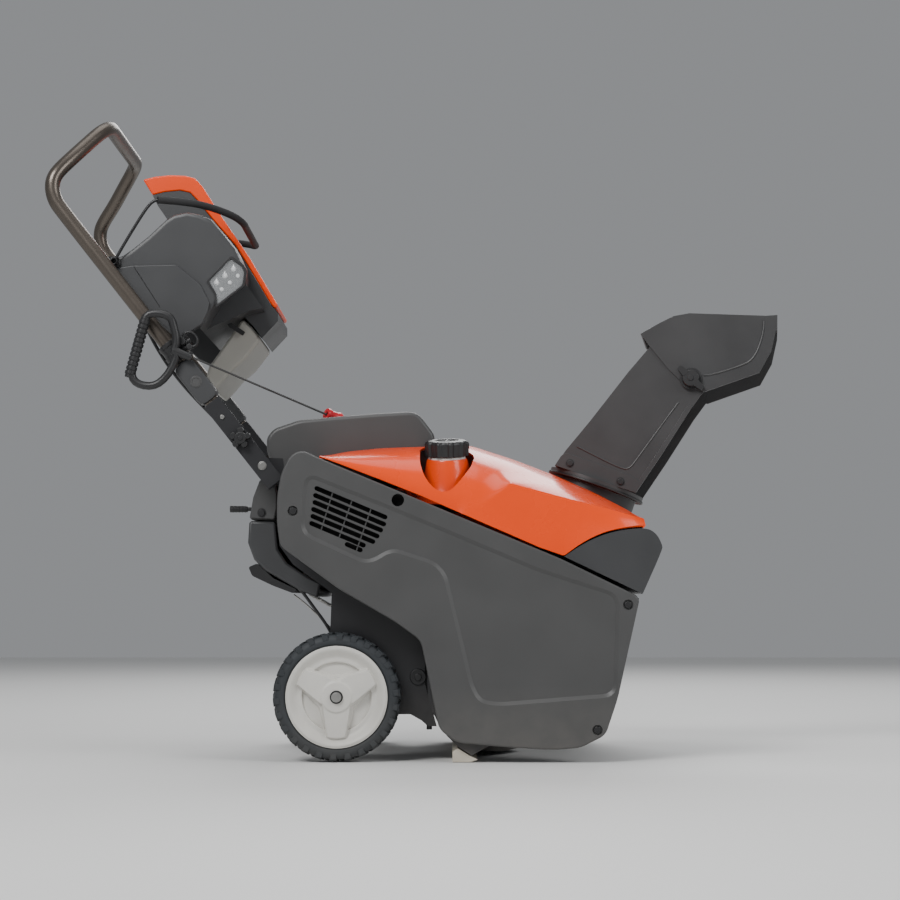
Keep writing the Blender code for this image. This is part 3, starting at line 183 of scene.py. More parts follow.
def grain_group():
    """Moulded or painted surface: fine grain height, slow colour variation and roughness."""
    group = bpy.data.node_groups.new("Surface grain", "ShaderNodeTree")
    group_sockets(group,
                  [("Colour", "NodeSocketColor", (0.5, 0.5, 0.5, 1.0)),
                   ("Grain scale", "NodeSocketFloat", 900.0),
                   ("Variation", "NodeSocketFloat", 0.15),
                   ("Roughness", "NodeSocketFloat", 0.5),
                   ("Roughness spread", "NodeSocketFloat", 0.08)],
                  [("Colour", "NodeSocketColor"), ("Roughness", "NodeSocketFloat"),
                   ("Height", "NodeSocketFloat")])
    nodes, links = group.nodes, group.links
    taken, given = nodes.new("NodeGroupInput"), nodes.new("NodeGroupOutput")
    place = nodes.new("ShaderNodeTexCoord")
    slow = nodes.new("ShaderNodeTexNoise")
    slow.inputs["Scale"].default_value = 14.0
    slow.inputs["Detail"].default_value = 4.0
    fine = nodes.new("ShaderNodeTexNoise")
    fine.inputs["Detail"].default_value = 2.0
    links.new(place.outputs["Object"], slow.inputs["Vector"])
    links.new(place.outputs["Object"], fine.inputs["Vector"])
    links.new(taken.outputs["Grain scale"], fine.inputs["Scale"])
    spread = nodes.new("ShaderNodeMapRange")
    spread.inputs["From Min"].default_value = 0.3
    spread.inputs["From Max"].default_value = 0.7
    spread.inputs["To Min"].default_value = -1.0
    links.new(slow.outputs["Fac"], spread.inputs["Value"])
    amount = math_node(group, "MULTIPLY", spread.outputs["Result"], taken.outputs["Variation"])
    bright = math_node(group, "ADD", amount, 1.0)
    tint = nodes.new("ShaderNodeVectorMath")
    tint.operation = "SCALE"
    links.new(taken.outputs["Colour"], tint.inputs[0])
    links.new(bright, tint.inputs["Scale"])
    links.new(tint.outputs["Vector"], given.inputs["Colour"])
    rough = math_node(group, "MULTIPLY_ADD", spread.outputs["Result"],
                      taken.outputs["Roughness spread"], taken.outputs["Roughness"])
    links.new(rough, given.inputs["Roughness"])
    links.new(fine.outputs["Fac"], given.inputs["Height"])
    return group


def dust_group():
    """Road dust that gathers low on the machine: a colour mixed in towards the ground."""
    group = bpy.data.node_groups.new("Low dust", "ShaderNodeTree")
    group_sockets(group,
                  [("Colour", "NodeSocketColor", (0.5, 0.5, 0.5, 1.0)),
                   ("Dust", "NodeSocketColor", (0.30, 0.27, 0.23, 1.0)),
                   ("Height", "NodeSocketFloat", 0.12), ("Amount", "NodeSocketFloat", 0.15)],
                  [("Colour", "NodeSocketColor"), ("Mask", "NodeSocketFloat")])
    nodes, links = group.nodes, group.links
    taken, given = nodes.new("NodeGroupInput"), nodes.new("NodeGroupOutput")
    place, split = nodes.new("ShaderNodeTexCoord"), nodes.new("ShaderNodeSeparateXYZ")
    links.new(place.outputs["Object"], split.inputs[0])
    ramp = nodes.new("ShaderNodeMapRange")
    links.new(split.outputs["Z"], ramp.inputs["Value"])
    links.new(taken.outputs["Height"], ramp.inputs["From Min"])
    ramp.inputs["From Max"].default_value = 0.0
    cloud = nodes.new("ShaderNodeTexNoise")
    cloud.inputs["Scale"].default_value = 45.0
    cloud.inputs["Detail"].default_value = 5.0
    links.new(place.outputs["Object"], cloud.inputs["Vector"])
    mask = math_node(group, "MULTIPLY", ramp.outputs["Result"], cloud.outputs["Fac"])
    strength = math_node(group, "MULTIPLY", mask, taken.outputs["Amount"])
    mix = nodes.new("ShaderNodeMix")
    mix.data_type = "RGBA"
    links.new(strength, mix.inputs["Factor"])
    links.new(taken.outputs["Colour"], mix.inputs["A"])
    links.new(taken.outputs["Dust"], mix.inputs["B"])
    links.new(mix.outputs["Result"], given.inputs["Colour"])
    links.new(strength, given.inputs["Mask"])
    return group


# Materials ------------------------------------------------------------------------------------
def finish(name, colour, roughness, metallic=0.0, grain=900.0, depth=0.00003, variation=0.06,
           spread=0.05, coat=0.0, dust=0.0, specular=0.5):
    """A finish with grain, slow variation and, where it is asked for, low dust."""
    made = bpy.data.materials.new(name)
    made.use_nodes = True
    nodes, links = made.node_tree.nodes, made.node_tree.links
    shader = nodes["Principled BSDF"]
    shader.inputs["Metallic"].default_value = metallic
    shader.inputs["Coat Weight"].default_value = coat
    shader.inputs["Coat Roughness"].default_value = COAT_ROUGHNESS
    shader.inputs["Specular IOR Level"].default_value = specular
    surface = nodes.new("ShaderNodeGroup")
    surface.node_tree = bpy.data.node_groups["Surface grain"]
    surface.inputs["Colour"].default_value = (*colour, 1.0)
    surface.inputs["Grain scale"].default_value = grain
    surface.inputs["Variation"].default_value = variation
    surface.inputs["Roughness"].default_value = roughness
    surface.inputs["Roughness spread"].default_value = spread
    colour_out = surface.outputs["Colour"]
    if dust > 0.0:
        low = nodes.new("ShaderNodeGroup")
        low.node_tree = bpy.data.node_groups["Low dust"]
        low.inputs["Amount"].default_value = dust
        links.new(colour_out, low.inputs["Colour"])
        colour_out = low.outputs["Colour"]
    links.new(colour_out, shader.inputs["Base Color"])
    links.new(surface.outputs["Roughness"], shader.inputs["Roughness"])
    bump = nodes.new("ShaderNodeBump")
    bump.inputs["Strength"].default_value = BUMP_STRENGTH
    bump.inputs["Distance"].default_value = depth
    links.new(surface.outputs["Height"], bump.inputs["Height"])
    links.new(bump.outputs["Normal"], shader.inputs["Normal"])
    return made


def make_materials():
    colours = bpy.context.scene.snow_blower_colours
    grain_group()
    dust_group()
    body, console = tuple(colours.body), tuple(colours.console)
    finish("Body plastic", body, 0.46, grain=1500.0, depth=0.00012, dust=0.25, variation=0.04)
    finish("Console plastic", console, 0.42, grain=1500.0, depth=0.00012, variation=0.04)
    finish("Hood paint", tuple(colours.hood), 0.27, coat=0.25, specular=0.35, grain=260.0,
           depth=0.00003, variation=0.025, spread=0.03)
    # Near-black, dull finish of the sheet behind the engine grille: painted shade standing in for
    # the unlit inside of the machine seen through the slots
    finish("Dark inside", (0.004, 0.004, 0.004), 0.75, grain=1300.0, depth=0.0001, specular=0.15)
    finish("Chute plastic", (0.042, 0.042, 0.043), 0.38, grain=1300.0, depth=0.00012,
           variation=0.05)
    finish("Black plastic", (0.014, 0.014, 0.015), 0.42, grain=1300.0, depth=0.0001)
    finish("Rim plastic", tuple(colours.rim), 0.45, grain=700.0, depth=0.00005, dust=0.35)
    finish("Tyre rubber", (0.020, 0.024, 0.028), 0.62, grain=1100.0, depth=0.0002, dust=0.15,
           variation=0.12)
    finish("Paddle rubber", (0.018, 0.018, 0.019), 0.8, grain=1100.0, depth=0.0002, dust=0.3)
    finish("Powder coat", (0.016, 0.016, 0.018), 0.38, grain=900.0, depth=0.00015, dust=0.3)
    finish("Zinc steel", (0.36, 0.355, 0.34), 0.36, metallic=1.0, grain=420.0, depth=0.00003,
           variation=0.12)
    finish("Handle paint", tuple(colours.handle), 0.34, metallic=0.75, grain=1400.0,
           depth=0.00006, variation=0.05)
    finish("Cast aluminium", (0.45, 0.45, 0.45), 0.5, metallic=1.0, grain=600.0, depth=0.0003,
           variation=0.15)
    finish("Shield plastic", (0.34, 0.33, 0.30), 0.5, grain=1200.0, depth=0.00012)
    finish("Red plastic", (0.52, 0.012, 0.022), 0.3, grain=600.0, depth=0.00004)
    finish("White plastic", (0.62, 0.62, 0.59), 0.4, grain=700.0, depth=0.00004)
    finish("Lens plastic", (0.11, 0.115, 0.12), 0.25, coat=0.3, grain=200.0, depth=0.00002)
    finish("Reflector", (0.86, 0.87, 0.88), 0.18, metallic=0.3, grain=300.0, depth=0.00004)
    finish("Rope fibre", (0.055, 0.055, 0.055), 0.8, grain=1500.0, depth=0.0003, variation=0.3)
    finish("Cover paint", tuple(colours.hood), 0.36, coat=0.15, specular=0.3, grain=260.0,
           depth=0.00003, variation=0.025, spread=0.03)
    finish("Black wire", (0.012, 0.012, 0.013), 0.30, metallic=0.2, grain=700.0, depth=0.00004)
    clear = finish("Clear lens", (0.85, 0.87, 0.88), 0.06, grain=200.0, depth=0.00001)
    clear.node_tree.nodes["Principled BSDF"].inputs["Alpha"].default_value = 0.10
    finish("Belt rubber", (0.02, 0.02, 0.02), 0.7)
    finish("Scraper plastic", (0.60, 0.55, 0.45), 0.5, dust=0.6, variation=0.12)


SLOT_FINISH = {
    "grey_plastic": "Body plastic", "dark_plastic": "Console plastic",
    "black_plastic": "Black plastic", "orange_plastic": "Hood paint",
    "rim_plastic": "Rim plastic", "tyre_rubber": "Tyre rubber",
    "paddle_rubber": "Paddle rubber", "black_steel": "Powder coat", "bare_steel": "Zinc steel",
    "handle_steel": "Handle paint", "cast_aluminium": "Cast aluminium",
    "beige_plastic": "Shield plastic", "red_plastic": "Red plastic",
    "lens_plastic": "Lens plastic", "rope_fibre": "Rope fibre", "belt_rubber": "Belt rubber",
    "scraper_plastic": "Scraper plastic"}


# Piece helpers --------------------------------------------------------------------------------
def linked(name, data):
    """A new object in the scene."""
    made = bpy.data.objects.new(name, data)
    bpy.context.scene.collection.objects.link(made)
    return made


def mesh_from(name, bm):
    """A mesh taken from a bmesh, which is freed."""
    mesh = bpy.data.meshes.new(name)
    bm.to_mesh(mesh)
    bm.free()
    return mesh


def link_mesh(name, bm):
    """A new object from a closed bmesh, with doubles merged and its faces pointing outwards."""
    bmesh.ops.remove_doubles(bm, verts=bm.verts, dist=MERGE_DISTANCE)
    bmesh.ops.recalc_face_normals(bm, faces=bm.faces)
    return linked(name, mesh_from(name, bm))


def finished_mesh(made):
    """An object's mesh with its modifiers or bevel worked in."""
    graph = bpy.context.evaluated_depsgraph_get()
    graph.update()
    return bpy.data.meshes.new_from_object(made.evaluated_get(graph))


def face_towards(bm, way):
    """Turns an open skin's faces to look along `way`."""
    bmesh.ops.recalc_face_normals(bm, faces=bm.faces)
    if sum(face.normal.dot(Vector(way)) for face in bm.faces) < 0:
        bmesh.ops.reverse_faces(bm, faces=bm.faces)


def dress(made, finish_name, body, replaced=(), angle=SHARP_ANGLE):
    """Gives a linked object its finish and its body."""
    mesh = made.data
    mesh.materials.clear()
    mesh.materials.append(bpy.data.materials[finish_name])
    mesh.shade_smooth()
    mesh.set_sharp_from_angle(angle=math.radians(angle))
    even = made.modifiers.new("Even shading", "WEIGHTED_NORMAL")
    even.keep_sharp = True
    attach(made, body)
    if replaced:
        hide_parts(*replaced)
    return made


def piece(name, bm, finish_name, body, replaced=(), angle=SHARP_ANGLE):
    return dress(link_mesh(name, bm), finish_name, body, replaced, angle)


def settle(made):
    """Applies an object's modifiers to its mesh."""
    done = finished_mesh(made)
    made.modifiers.clear()
    made.data = done
    return made


def carve(made, cutters, operation="DIFFERENCE"):
    """Cuts shapes out of an object, or joins them to it, and removes them."""
    for cutter in cutters:
        change = made.modifiers.new("Cut", "BOOLEAN")
        change.operation = operation
        change.solver = "EXACT"
        change.object = cutter
    settle(made)
    for cutter in cutters:
        bpy.data.objects.remove(cutter, do_unlink=True)
    return made


def thicken(made, thickness):
    """Gives an open skin a wall, inwards."""
    wall = made.modifiers.new("Wall", "SOLIDIFY")
    wall.thickness = thickness
    wall.offset = -1.0
    return settle(made)


def round_edges(made, width, segments=2, angle=30.0):
    edge = made.modifiers.new("Rounded edges", "BEVEL")
    edge.width = width
    edge.segments = segments
    edge.limit_method = "ANGLE"
    edge.angle_limit = math.radians(angle)
    edge.use_clamp_overlap = True
    return settle(made)


def add_box(bm, low, high, bevel=0.0):
    made = bmesh.ops.create_cube(bm, size=1.0)["verts"]
    low, high = Vector(low), Vector(high)
    bmesh.ops.scale(bm, vec=high - low, verts=made)
    bmesh.ops.translate(bm, vec=(low + high) / 2, verts=made)
    if bevel > 0.0:
        edges = list({edge for vert in made for edge in vert.link_edges})
        made = bmesh.ops.bevel(bm, geom=edges, offset=bevel, affect="EDGES", segments=2,
                               profile=0.5, material=-1)["verts"]
    return list(made)


def add_rod(bm, start, end, radius, segments=20, end_radius=None, bevel=0.0):
    start, end = Vector(start), Vector(end)
    made = bmesh.ops.create_cone(
        bm, cap_ends=True, segments=segments, radius1=radius,
        radius2=radius if end_radius is None else end_radius, depth=(end - start).length)["verts"]
    if bevel > 0.0:
        caps = {face for vert in made for face in vert.link_faces if len(face.verts) > 4}
        rims = list({edge for face in caps for edge in face.edges})
        grown = bmesh.ops.bevel(bm, geom=rims, offset=bevel, affect="EDGES", segments=3,
                                profile=0.5, material=-1)
        made = list({v for v in grown["verts"]} | {v for v in made if v.is_valid})
    turn = (end - start).to_track_quat("Z", "Y").to_matrix().to_4x4()
    bmesh.ops.transform(bm, matrix=Matrix.Translation((start + end) / 2) @ turn, verts=made)
    return made


def add_plate(bm, outline, y_from, y_to, corner=0.0, steps=4):
    """A flat outline in (x, z) with rounded corners, drawn out from y_from to y_to."""
    ring = [bm.verts.new((x, y_from, z)) for x, z in outline]
    face = bm.faces.new(ring)
    if corner > 0.0:
        grown = bmesh.ops.bevel(bm, geom=ring, offset=corner, affect="VERTICES", segments=steps,
                                profile=0.5, material=-1, clamp_overlap=True)
        face = max((f for v in grown["verts"] for f in v.link_faces),
                   key=lambda f: len(f.verts))
    grown = bmesh.ops.extrude_face_region(bm, geom=[face])["geom"]
    moved = [item for item in grown if isinstance(item, bmesh.types.BMVert)]
    bmesh.ops.translate(bm, vec=(0.0, y_to - y_from, 0.0), verts=moved)
    return moved


def plate_object(name, outline, y_from, y_to, corner=0.0, steps=4):
    bm = bmesh.new()
    add_plate(bm, outline, y_from, y_to, corner, steps)
    return link_mesh(name, bm)


def rod_object(name, start, end, radius, segments=32, end_radius=None):
    bm = bmesh.new()
    add_rod(bm, start, end, radius, segments, end_radius)
    return link_mesh(name, bm)


def rounded_outline(points, radius, steps=5):
    """An outline whose corners are replaced by short curves."""
    made = []
    for number, point in enumerate(points):
        here = Vector(point)
        before, after = Vector(points[number - 1]), Vector(points[(number + 1) % len(points)])
        near = min(radius, (before - here).length * 0.45, (after - here).length * 0.45)
        start = here + (before - here).normalized() * near
        end = here + (after - here).normalized() * near
        for part in range(steps + 1):
            share = part / steps
            made.append(start * (1 - share) ** 2 + here * 2 * share * (1 - share)
                        + end * share ** 2)
    return made


def grown_outline(points, distance):
    """An outline moved outwards by `distance` at every point."""
    turning = sum(a.x * b.y - b.x * a.y for a, b in zip(points, points[1:] + points[:1]))
    way = 1.0 if turning > 0 else -1.0
    made = []
    for number, here in enumerate(points):
        run = points[(number + 1) % len(points)] - points[number - 1]
        made.append(here + Vector((run.y, -run.x)).normalized() * distance * way)
    return made


def closed_line(bm, points):
    """New vertices at the points and the edges that join them in a ring."""
    ring = [bm.verts.new(point) for point in points]
    return ring, [bm.edges.new((a, b)) for a, b in zip(ring, ring[1:] + ring[:1])]


def pocket_object(name, outline, surface, depth, slope, corner, sign):
    """A cutter for a shallow pocket whose sides lean in by `slope` over its depth."""
    floor = rounded_outline(outline, corner)
    over = 0.0006
    rim = grown_outline(floor, slope * (depth + over) / depth)
    bm = bmesh.new()
    loops = []
    for line, y in ((floor, surface - sign * depth), (rim, surface + sign * over)):
        loops.append(closed_line(bm, [(spot.x, y, spot.y) for spot in line])[1])
    bmesh.ops.bridge_loops(bm, edges=loops[0] + loops[1])
    bmesh.ops.holes_fill(bm, edges=bm.edges[:], sides=len(floor))
    return link_mesh(name, bm)


def add_spun(bm, profile, centre=(0, 0, 0), axis=(0, 0, 1), steps=48):
    """A closed (radius, along) profile turned round an axis through `centre`."""
    ring, edges = closed_line(bm, [(radius, 0.0, along) for radius, along in profile])
    before = set(bm.verts) - set(ring)
    bmesh.ops.spin(bm, geom=ring + edges, cent=(0, 0, 0), axis=(0, 0, 1), angle=math.tau,
                   steps=steps, use_merge=True, use_duplicate=False)
    made = [vert for vert in bm.verts if vert not in before]
    turn = Vector(axis).to_track_quat("Z", "Y").to_matrix().to_4x4()
    bmesh.ops.transform(bm, matrix=Matrix.Translation(centre) @ turn, verts=made)
    return made


def bead_mesh(name, points, radius, resolution=3, cyclic=False):
    """A round bead, wire or tube along a line of points, as a linked mesh object."""
    curve = bpy.data.curves.new(name, "CURVE")
    curve.dimensions = "3D"
    curve.bevel_depth = radius
    curve.bevel_resolution = resolution
    curve.use_fill_caps = not cyclic
    line = curve.splines.new("POLY")
    line.points.add(len(points) - 1)
    for spot, point in zip(line.points, points):
        spot.co = (*point, 1.0)
    line.use_cyclic_u = cyclic
    line.use_smooth = True
    holder = linked(name, curve)
    mesh = finished_mesh(holder)
    bpy.data.objects.remove(holder, do_unlink=True)
    return linked(name, mesh)


def eased(points, rounds=3, closed=False):
    """Cuts the corners of a line a few times, so that it runs in a smooth curve."""
    points = [Vector(point) for point in points]
    for _ in range(rounds):
        made = [] if closed else [points[0]]
        pairs = zip(points, points[1:] + points[:1]) if closed else zip(points, points[1:])
        for a, b in pairs:
            made += [a.lerp(b, 0.25), a.lerp(b, 0.75)]
        if not closed:
            made.append(points[-1])
        points = made
    return points


def join(made, others):
    """Adds other objects' meshes to an object and removes them."""
    bm = bmesh.new()
    bm.from_mesh(made.data)
    for other in others:
        bm.from_mesh(other.data)
        bpy.data.objects.remove(other, do_unlink=True)
    bm.to_mesh(made.data)
    bm.free()
    return made


def level(points, value):
    """Height of a line of (x, z) points at x."""
    for (x0, z0), (x1, z1) in zip(points, points[1:]):
        if value <= x1:
            return z0 + (z1 - z0) * (value - x0) / (x1 - x0)
    return points[-1][1]


def glide(points, value):
    """Height of a line of (x, z) points at x, rounded at its corners."""
    reach = 0.012
    return sum(level(points, value + reach * k / 2) for k in (-2, -1, 0, 1, 2)) / 5


def step(value, low, high):
    share = max(0.0, min(1.0, (value - low) / (high - low)))
    return share * share * (3.0 - 2.0 * share)


def copy_of(node):
    """A CAD node's shape with its loose triangles merged."""
    bm = bmesh.new()
    bm.from_mesh(NODES[node].data)
    bmesh.ops.remove_doubles(bm, verts=bm.verts, dist=CAD_MERGE_DISTANCE)
    bmesh.ops.dissolve_limit(bm, angle_limit=math.radians(CAD_FLAT_ANGLE), verts=bm.verts,
                             edges=bm.edges)
    return linked(node + "_finished", mesh_from(node + "_finished", bm))


def softened(node, width, segments=2, angle=30.0, finish_name=None):
    """A copy of a CAD node with its edges rounded, standing in for it."""
    made = round_edges(copy_of(node), width, segments, angle)
    slot_name = NODE_SLOTS[node]
    return dress(made, finish_name or SLOT_FINISH[slot_name], NODES[node]["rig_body"],
                 (node,))


def add_cross_rod(bm, x, z, y_from, y_to, *shape):
    """A rod across the machine: shape is its radius, segments, end radius and bevel."""
    return add_rod(bm, (x, y_from, z), (x, y_to, z), *shape)


def add_screw(bm, x, y, z, sign, radius):
    """A pan-head screw on a washer, its head facing sideways."""
    add_cross_rod(bm, x, z, y, y + sign * 0.0030, radius, 24, None, 0.0010)
    add_cross_rod(bm, x, z, y, y + sign * 0.0008, radius * 1.35, 24)


def both_sides(points):
    """A line from the right side carried on over the middle to its mirror on the left."""
    return points + [Vector((p.x, -p.y, p.z)) for p in reversed(points)]


# Pieces ---------------------------------------------------------------------------------------
class FinishNodes(bpy.types.Operator):
    """Gives every CAD node that stays its finish"""

    bl_idname = "snow_blower.finish_nodes"
    bl_label = "CAD finishes"

    def execute(self, context):
        make_materials()
        for name, slot_name in NODE_SLOTS.items():
            mesh = NODES[name].data
            mesh.materials.clear()
            mesh.materials.append(bpy.data.materials[SLOT_FINISH[slot_name]])
            mesh.shade_smooth()
            mesh.set_sharp_from_angle(angle=math.radians(SHARP_ANGLE))
        return {"FINISHED"}


# Outlines -------------------------------------------------------------------------------------
SEAM = [(-0.222, 0.477), (-0.187, 0.464), (-0.127, 0.441), (-0.064, 0.416), (0.0, 0.388),
        (0.062, 0.361), (0.124, 0.334), (0.162, 0.321), (0.190, 0.3415), (0.222, 0.3575),
        (0.254, 0.3655), (0.290, 0.3705)]
CROWN = [(-0.222, 0.484), (-0.187, 0.497), (-0.130, 0.507), (-0.049, 0.515), (0.015, 0.512),
         (0.096, 0.486), (0.160, 0.462), (0.224, 0.433), (0.272, 0.406), (0.285, 0.396),
         (0.290, 0.386)]
HOOD_FRONT = SEAM[-1][0]
PANEL_OUTLINE = [
    (-0.222, 0.476), (-0.250, 0.489), (-0.268, 0.482), (-0.283, 0.452), (-0.289, 0.415),
    (-0.289, 0.375), (-0.284, 0.338), (-0.189, 0.269), (-0.103, 0.219), (-0.063, 0.190),
    (-0.047, 0.113), (-0.034, 0.052), (-0.006, 0.031), (0.061, 0.025), (0.139, 0.020),
    (0.186, 0.023), (0.226, 0.043), (0.245, 0.099), (0.281, 0.258), (0.160, 0.317)]
PANEL_RECESS = [(-0.241, 0.447), (-0.114, 0.396), (-0.02, 0.357), (0.120, 0.298), (0.243, 0.258),
                (0.238, 0.108), (0.060, 0.094), (0.032, 0.098), (0.020, 0.120), (-0.022, 0.294),
                (-0.040, 0.314), (-0.108, 0.336), (-0.146, 0.314), (-0.246, 0.360)]
GRILLE_SLOPE = math.radians(-22.8)
GRILLE_ROWS = ((-0.230, 0.430, 0.124), (-0.232, 0.419, 0.124), (-0.233, 0.408, 0.120),
               (-0.235, 0.397, 0.116), (-0.236, 0.386, 0.110), (-0.238, 0.375, 0.096),
               (-0.182, 0.342, 0.030))
PANEL_SCREWS = ((-0.264, 0.393), (0.262, 0.246), (0.213, 0.051))


# Body -----------------------------------------------------------------------------------------
def build_side_panel(side, sign):
    low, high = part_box("side_panel_" + side)
    outer = sign * max(abs(low.y), abs(high.y))
    inner = sign * min(abs(low.y), abs(high.y))
    panel = plate_object("side_panel_" + side + "_shell", PANEL_OUTLINE, inner, outer, 0.020, 6)
    round_edges(panel, 0.0034, 4, 50)
    carve(panel, [pocket_object("pocket", PANEL_RECESS, outer, POCKET_DEPTH, POCKET_LEAN,
                                POCKET_CORNER, sign)])
    if sign < 0:
        cos, sin = math.cos(GRILLE_SLOPE), math.sin(GRILLE_SLOPE)
        cutters = []
        for x, z, length in GRILLE_ROWS:
            outline = []
            for end, begin in ((length - GRILLE_HALF, -90), (GRILLE_HALF, 90)):
                for number in range(7):
                    angle = math.radians(begin + 30 * number)
                    along = end + GRILLE_HALF * math.cos(angle)
                    up = GRILLE_HALF * math.sin(angle)
                    outline.append((x + along * cos - up * sin, z + along * sin + up * cos))
            cutters.append(plate_object("slot", outline, outer * 0.9, outer * 1.1))
        cutters.append(rod_object("hole", (-0.099, outer * 0.9, 0.410),
                                  (-0.099, outer * 1.1, 0.410), 0.0098, 36))
        carve(panel, cutters)
    carve(panel, [rod_object("seat", (x, outer - sign * SCREW_SEAT_DEPTH, z), (x, outer * 1.1, z),
                             SCREW_SEAT_RADIUS, 36) for x, z in PANEL_SCREWS])
    round_edges(panel, 0.0007, 2, 40)
    dress(panel, "Body plastic", "chassis", ("side_panel_" + side,), 30)
    screws = bmesh.new()
    for x, z in PANEL_SCREWS:
        back = outer - sign * 0.0046
        add_cross_rod(screws, x, z, back, outer - sign * 0.0010, 0.0058, 28, None, 0.0012)
        add_cross_rod(screws, x, z, back, outer - sign * 0.0004, 0.0022, 6)
    piece("panel_screws_" + side, screws, "Black plastic", "chassis")
    if sign < 0:
        bars = bmesh.new()
        for start, end in (((-0.200, 0.428), (-0.223, 0.352)), ((-0.170, 0.413), (-0.196, 0.338)),
                           ((-0.140, 0.400), (-0.166, 0.325))):
            add_rod(bars, (start[0], inner + sign * 0.0012, start[1]),
                    (end[0], inner + sign * 0.0012, end[1]), 0.0011, 10)
        piece("grille_bars", bars, "Body plastic", "chassis")
        # Near-black sheet just inside the panel, behind the grille slots and along their rear
        # edge: painted shade where only the shadowed inside of the machine shows
        shade_sheet = bmesh.new()
        add_plate(shade_sheet, [(-0.258, 0.440), (-0.244, 0.456), (-0.085, 0.424), (-0.080, 0.392),
                         (-0.118, 0.318), (-0.158, 0.312), (-0.262, 0.356)],
                  inner - sign * 0.0050, inner - sign * 0.0062, 0.006, 3)
        add_plate(shade_sheet, [(-0.262, 0.352), (-0.246, 0.460), (-0.238, 0.458), (-0.253, 0.350)],
                  inner - sign * 0.0004, inner - sign * 0.0062)
        piece("grille_shade_sheet", shade_sheet, "Dark inside", "chassis")


class BuildSidePanels(bpy.types.Operator):
    """Both side panels with their pockets, screws and the engine grille"""

    bl_idname = "snow_blower.side_panels"
    bl_label = "Side panels"

    def execute(self, context):
        for side, sign in SIDES:
            build_side_panel(side, sign)
        return {"FINISHED"}


def hood_place(x, v, half):
    """Point on the hood's skin: x along it, v from -1 (right seam) over the crown to 1 (left)."""
    side = -1.0 if v < 0 else 1.0
    turn = (1.0 - abs(v)) * math.pi / 2
    bottom, top = (glide if x > SEAM_CORNER_END else level)(SEAM, x) + SEAM_GAP, glide(CROWN, x)
    rise = top - bottom
    soft = Vector((math.cos(turn) ** 0.76, math.sin(turn) ** 0.80))
    ridge = min(0.86, max(0.30, (0.440 - (x - 0.068) * 0.262 - bottom) / rise))
    if abs(v) > CREASE_FROM:
        share = (1.0 - abs(v)) / CREASE_SPAN
        sharp = Vector((1.0 - 0.040 * share - 0.012 * share ** 2, ridge * share))
    else:
        share = (CREASE_FROM - abs(v)) / CREASE_FROM
        low = math.radians(CREASE_ANGLE)
        lean = low + (math.pi / 2 - low) * share
        sharp = Vector((0.948 * math.cos(lean) / math.cos(low),
                        ridge + (1 - ridge) * (math.sin(lean) - math.sin(low))
                        / (1 - math.sin(low))))
    line = -0.004 + 0.070 * min(1.0, (1.0 - abs(v)) / CREASE_SPAN)
    width = 0.016 + 0.110 * step(1.0 - abs(v), 0.44, 0.62)
    share = step(x, line - 0.006, line - 0.006 + width)
    reach, height = soft.lerp(sharp, share)
    reach *= 1.0 - 0.014 * (1.0 - share) * step(abs(v), 0.50, 0.8)
    if x > 0.2:
        reach -= 0.10 * ((x - 0.2) / 0.09) ** 2 * height * reach
    return Vector((x, side * half * reach, bottom + rise * height))


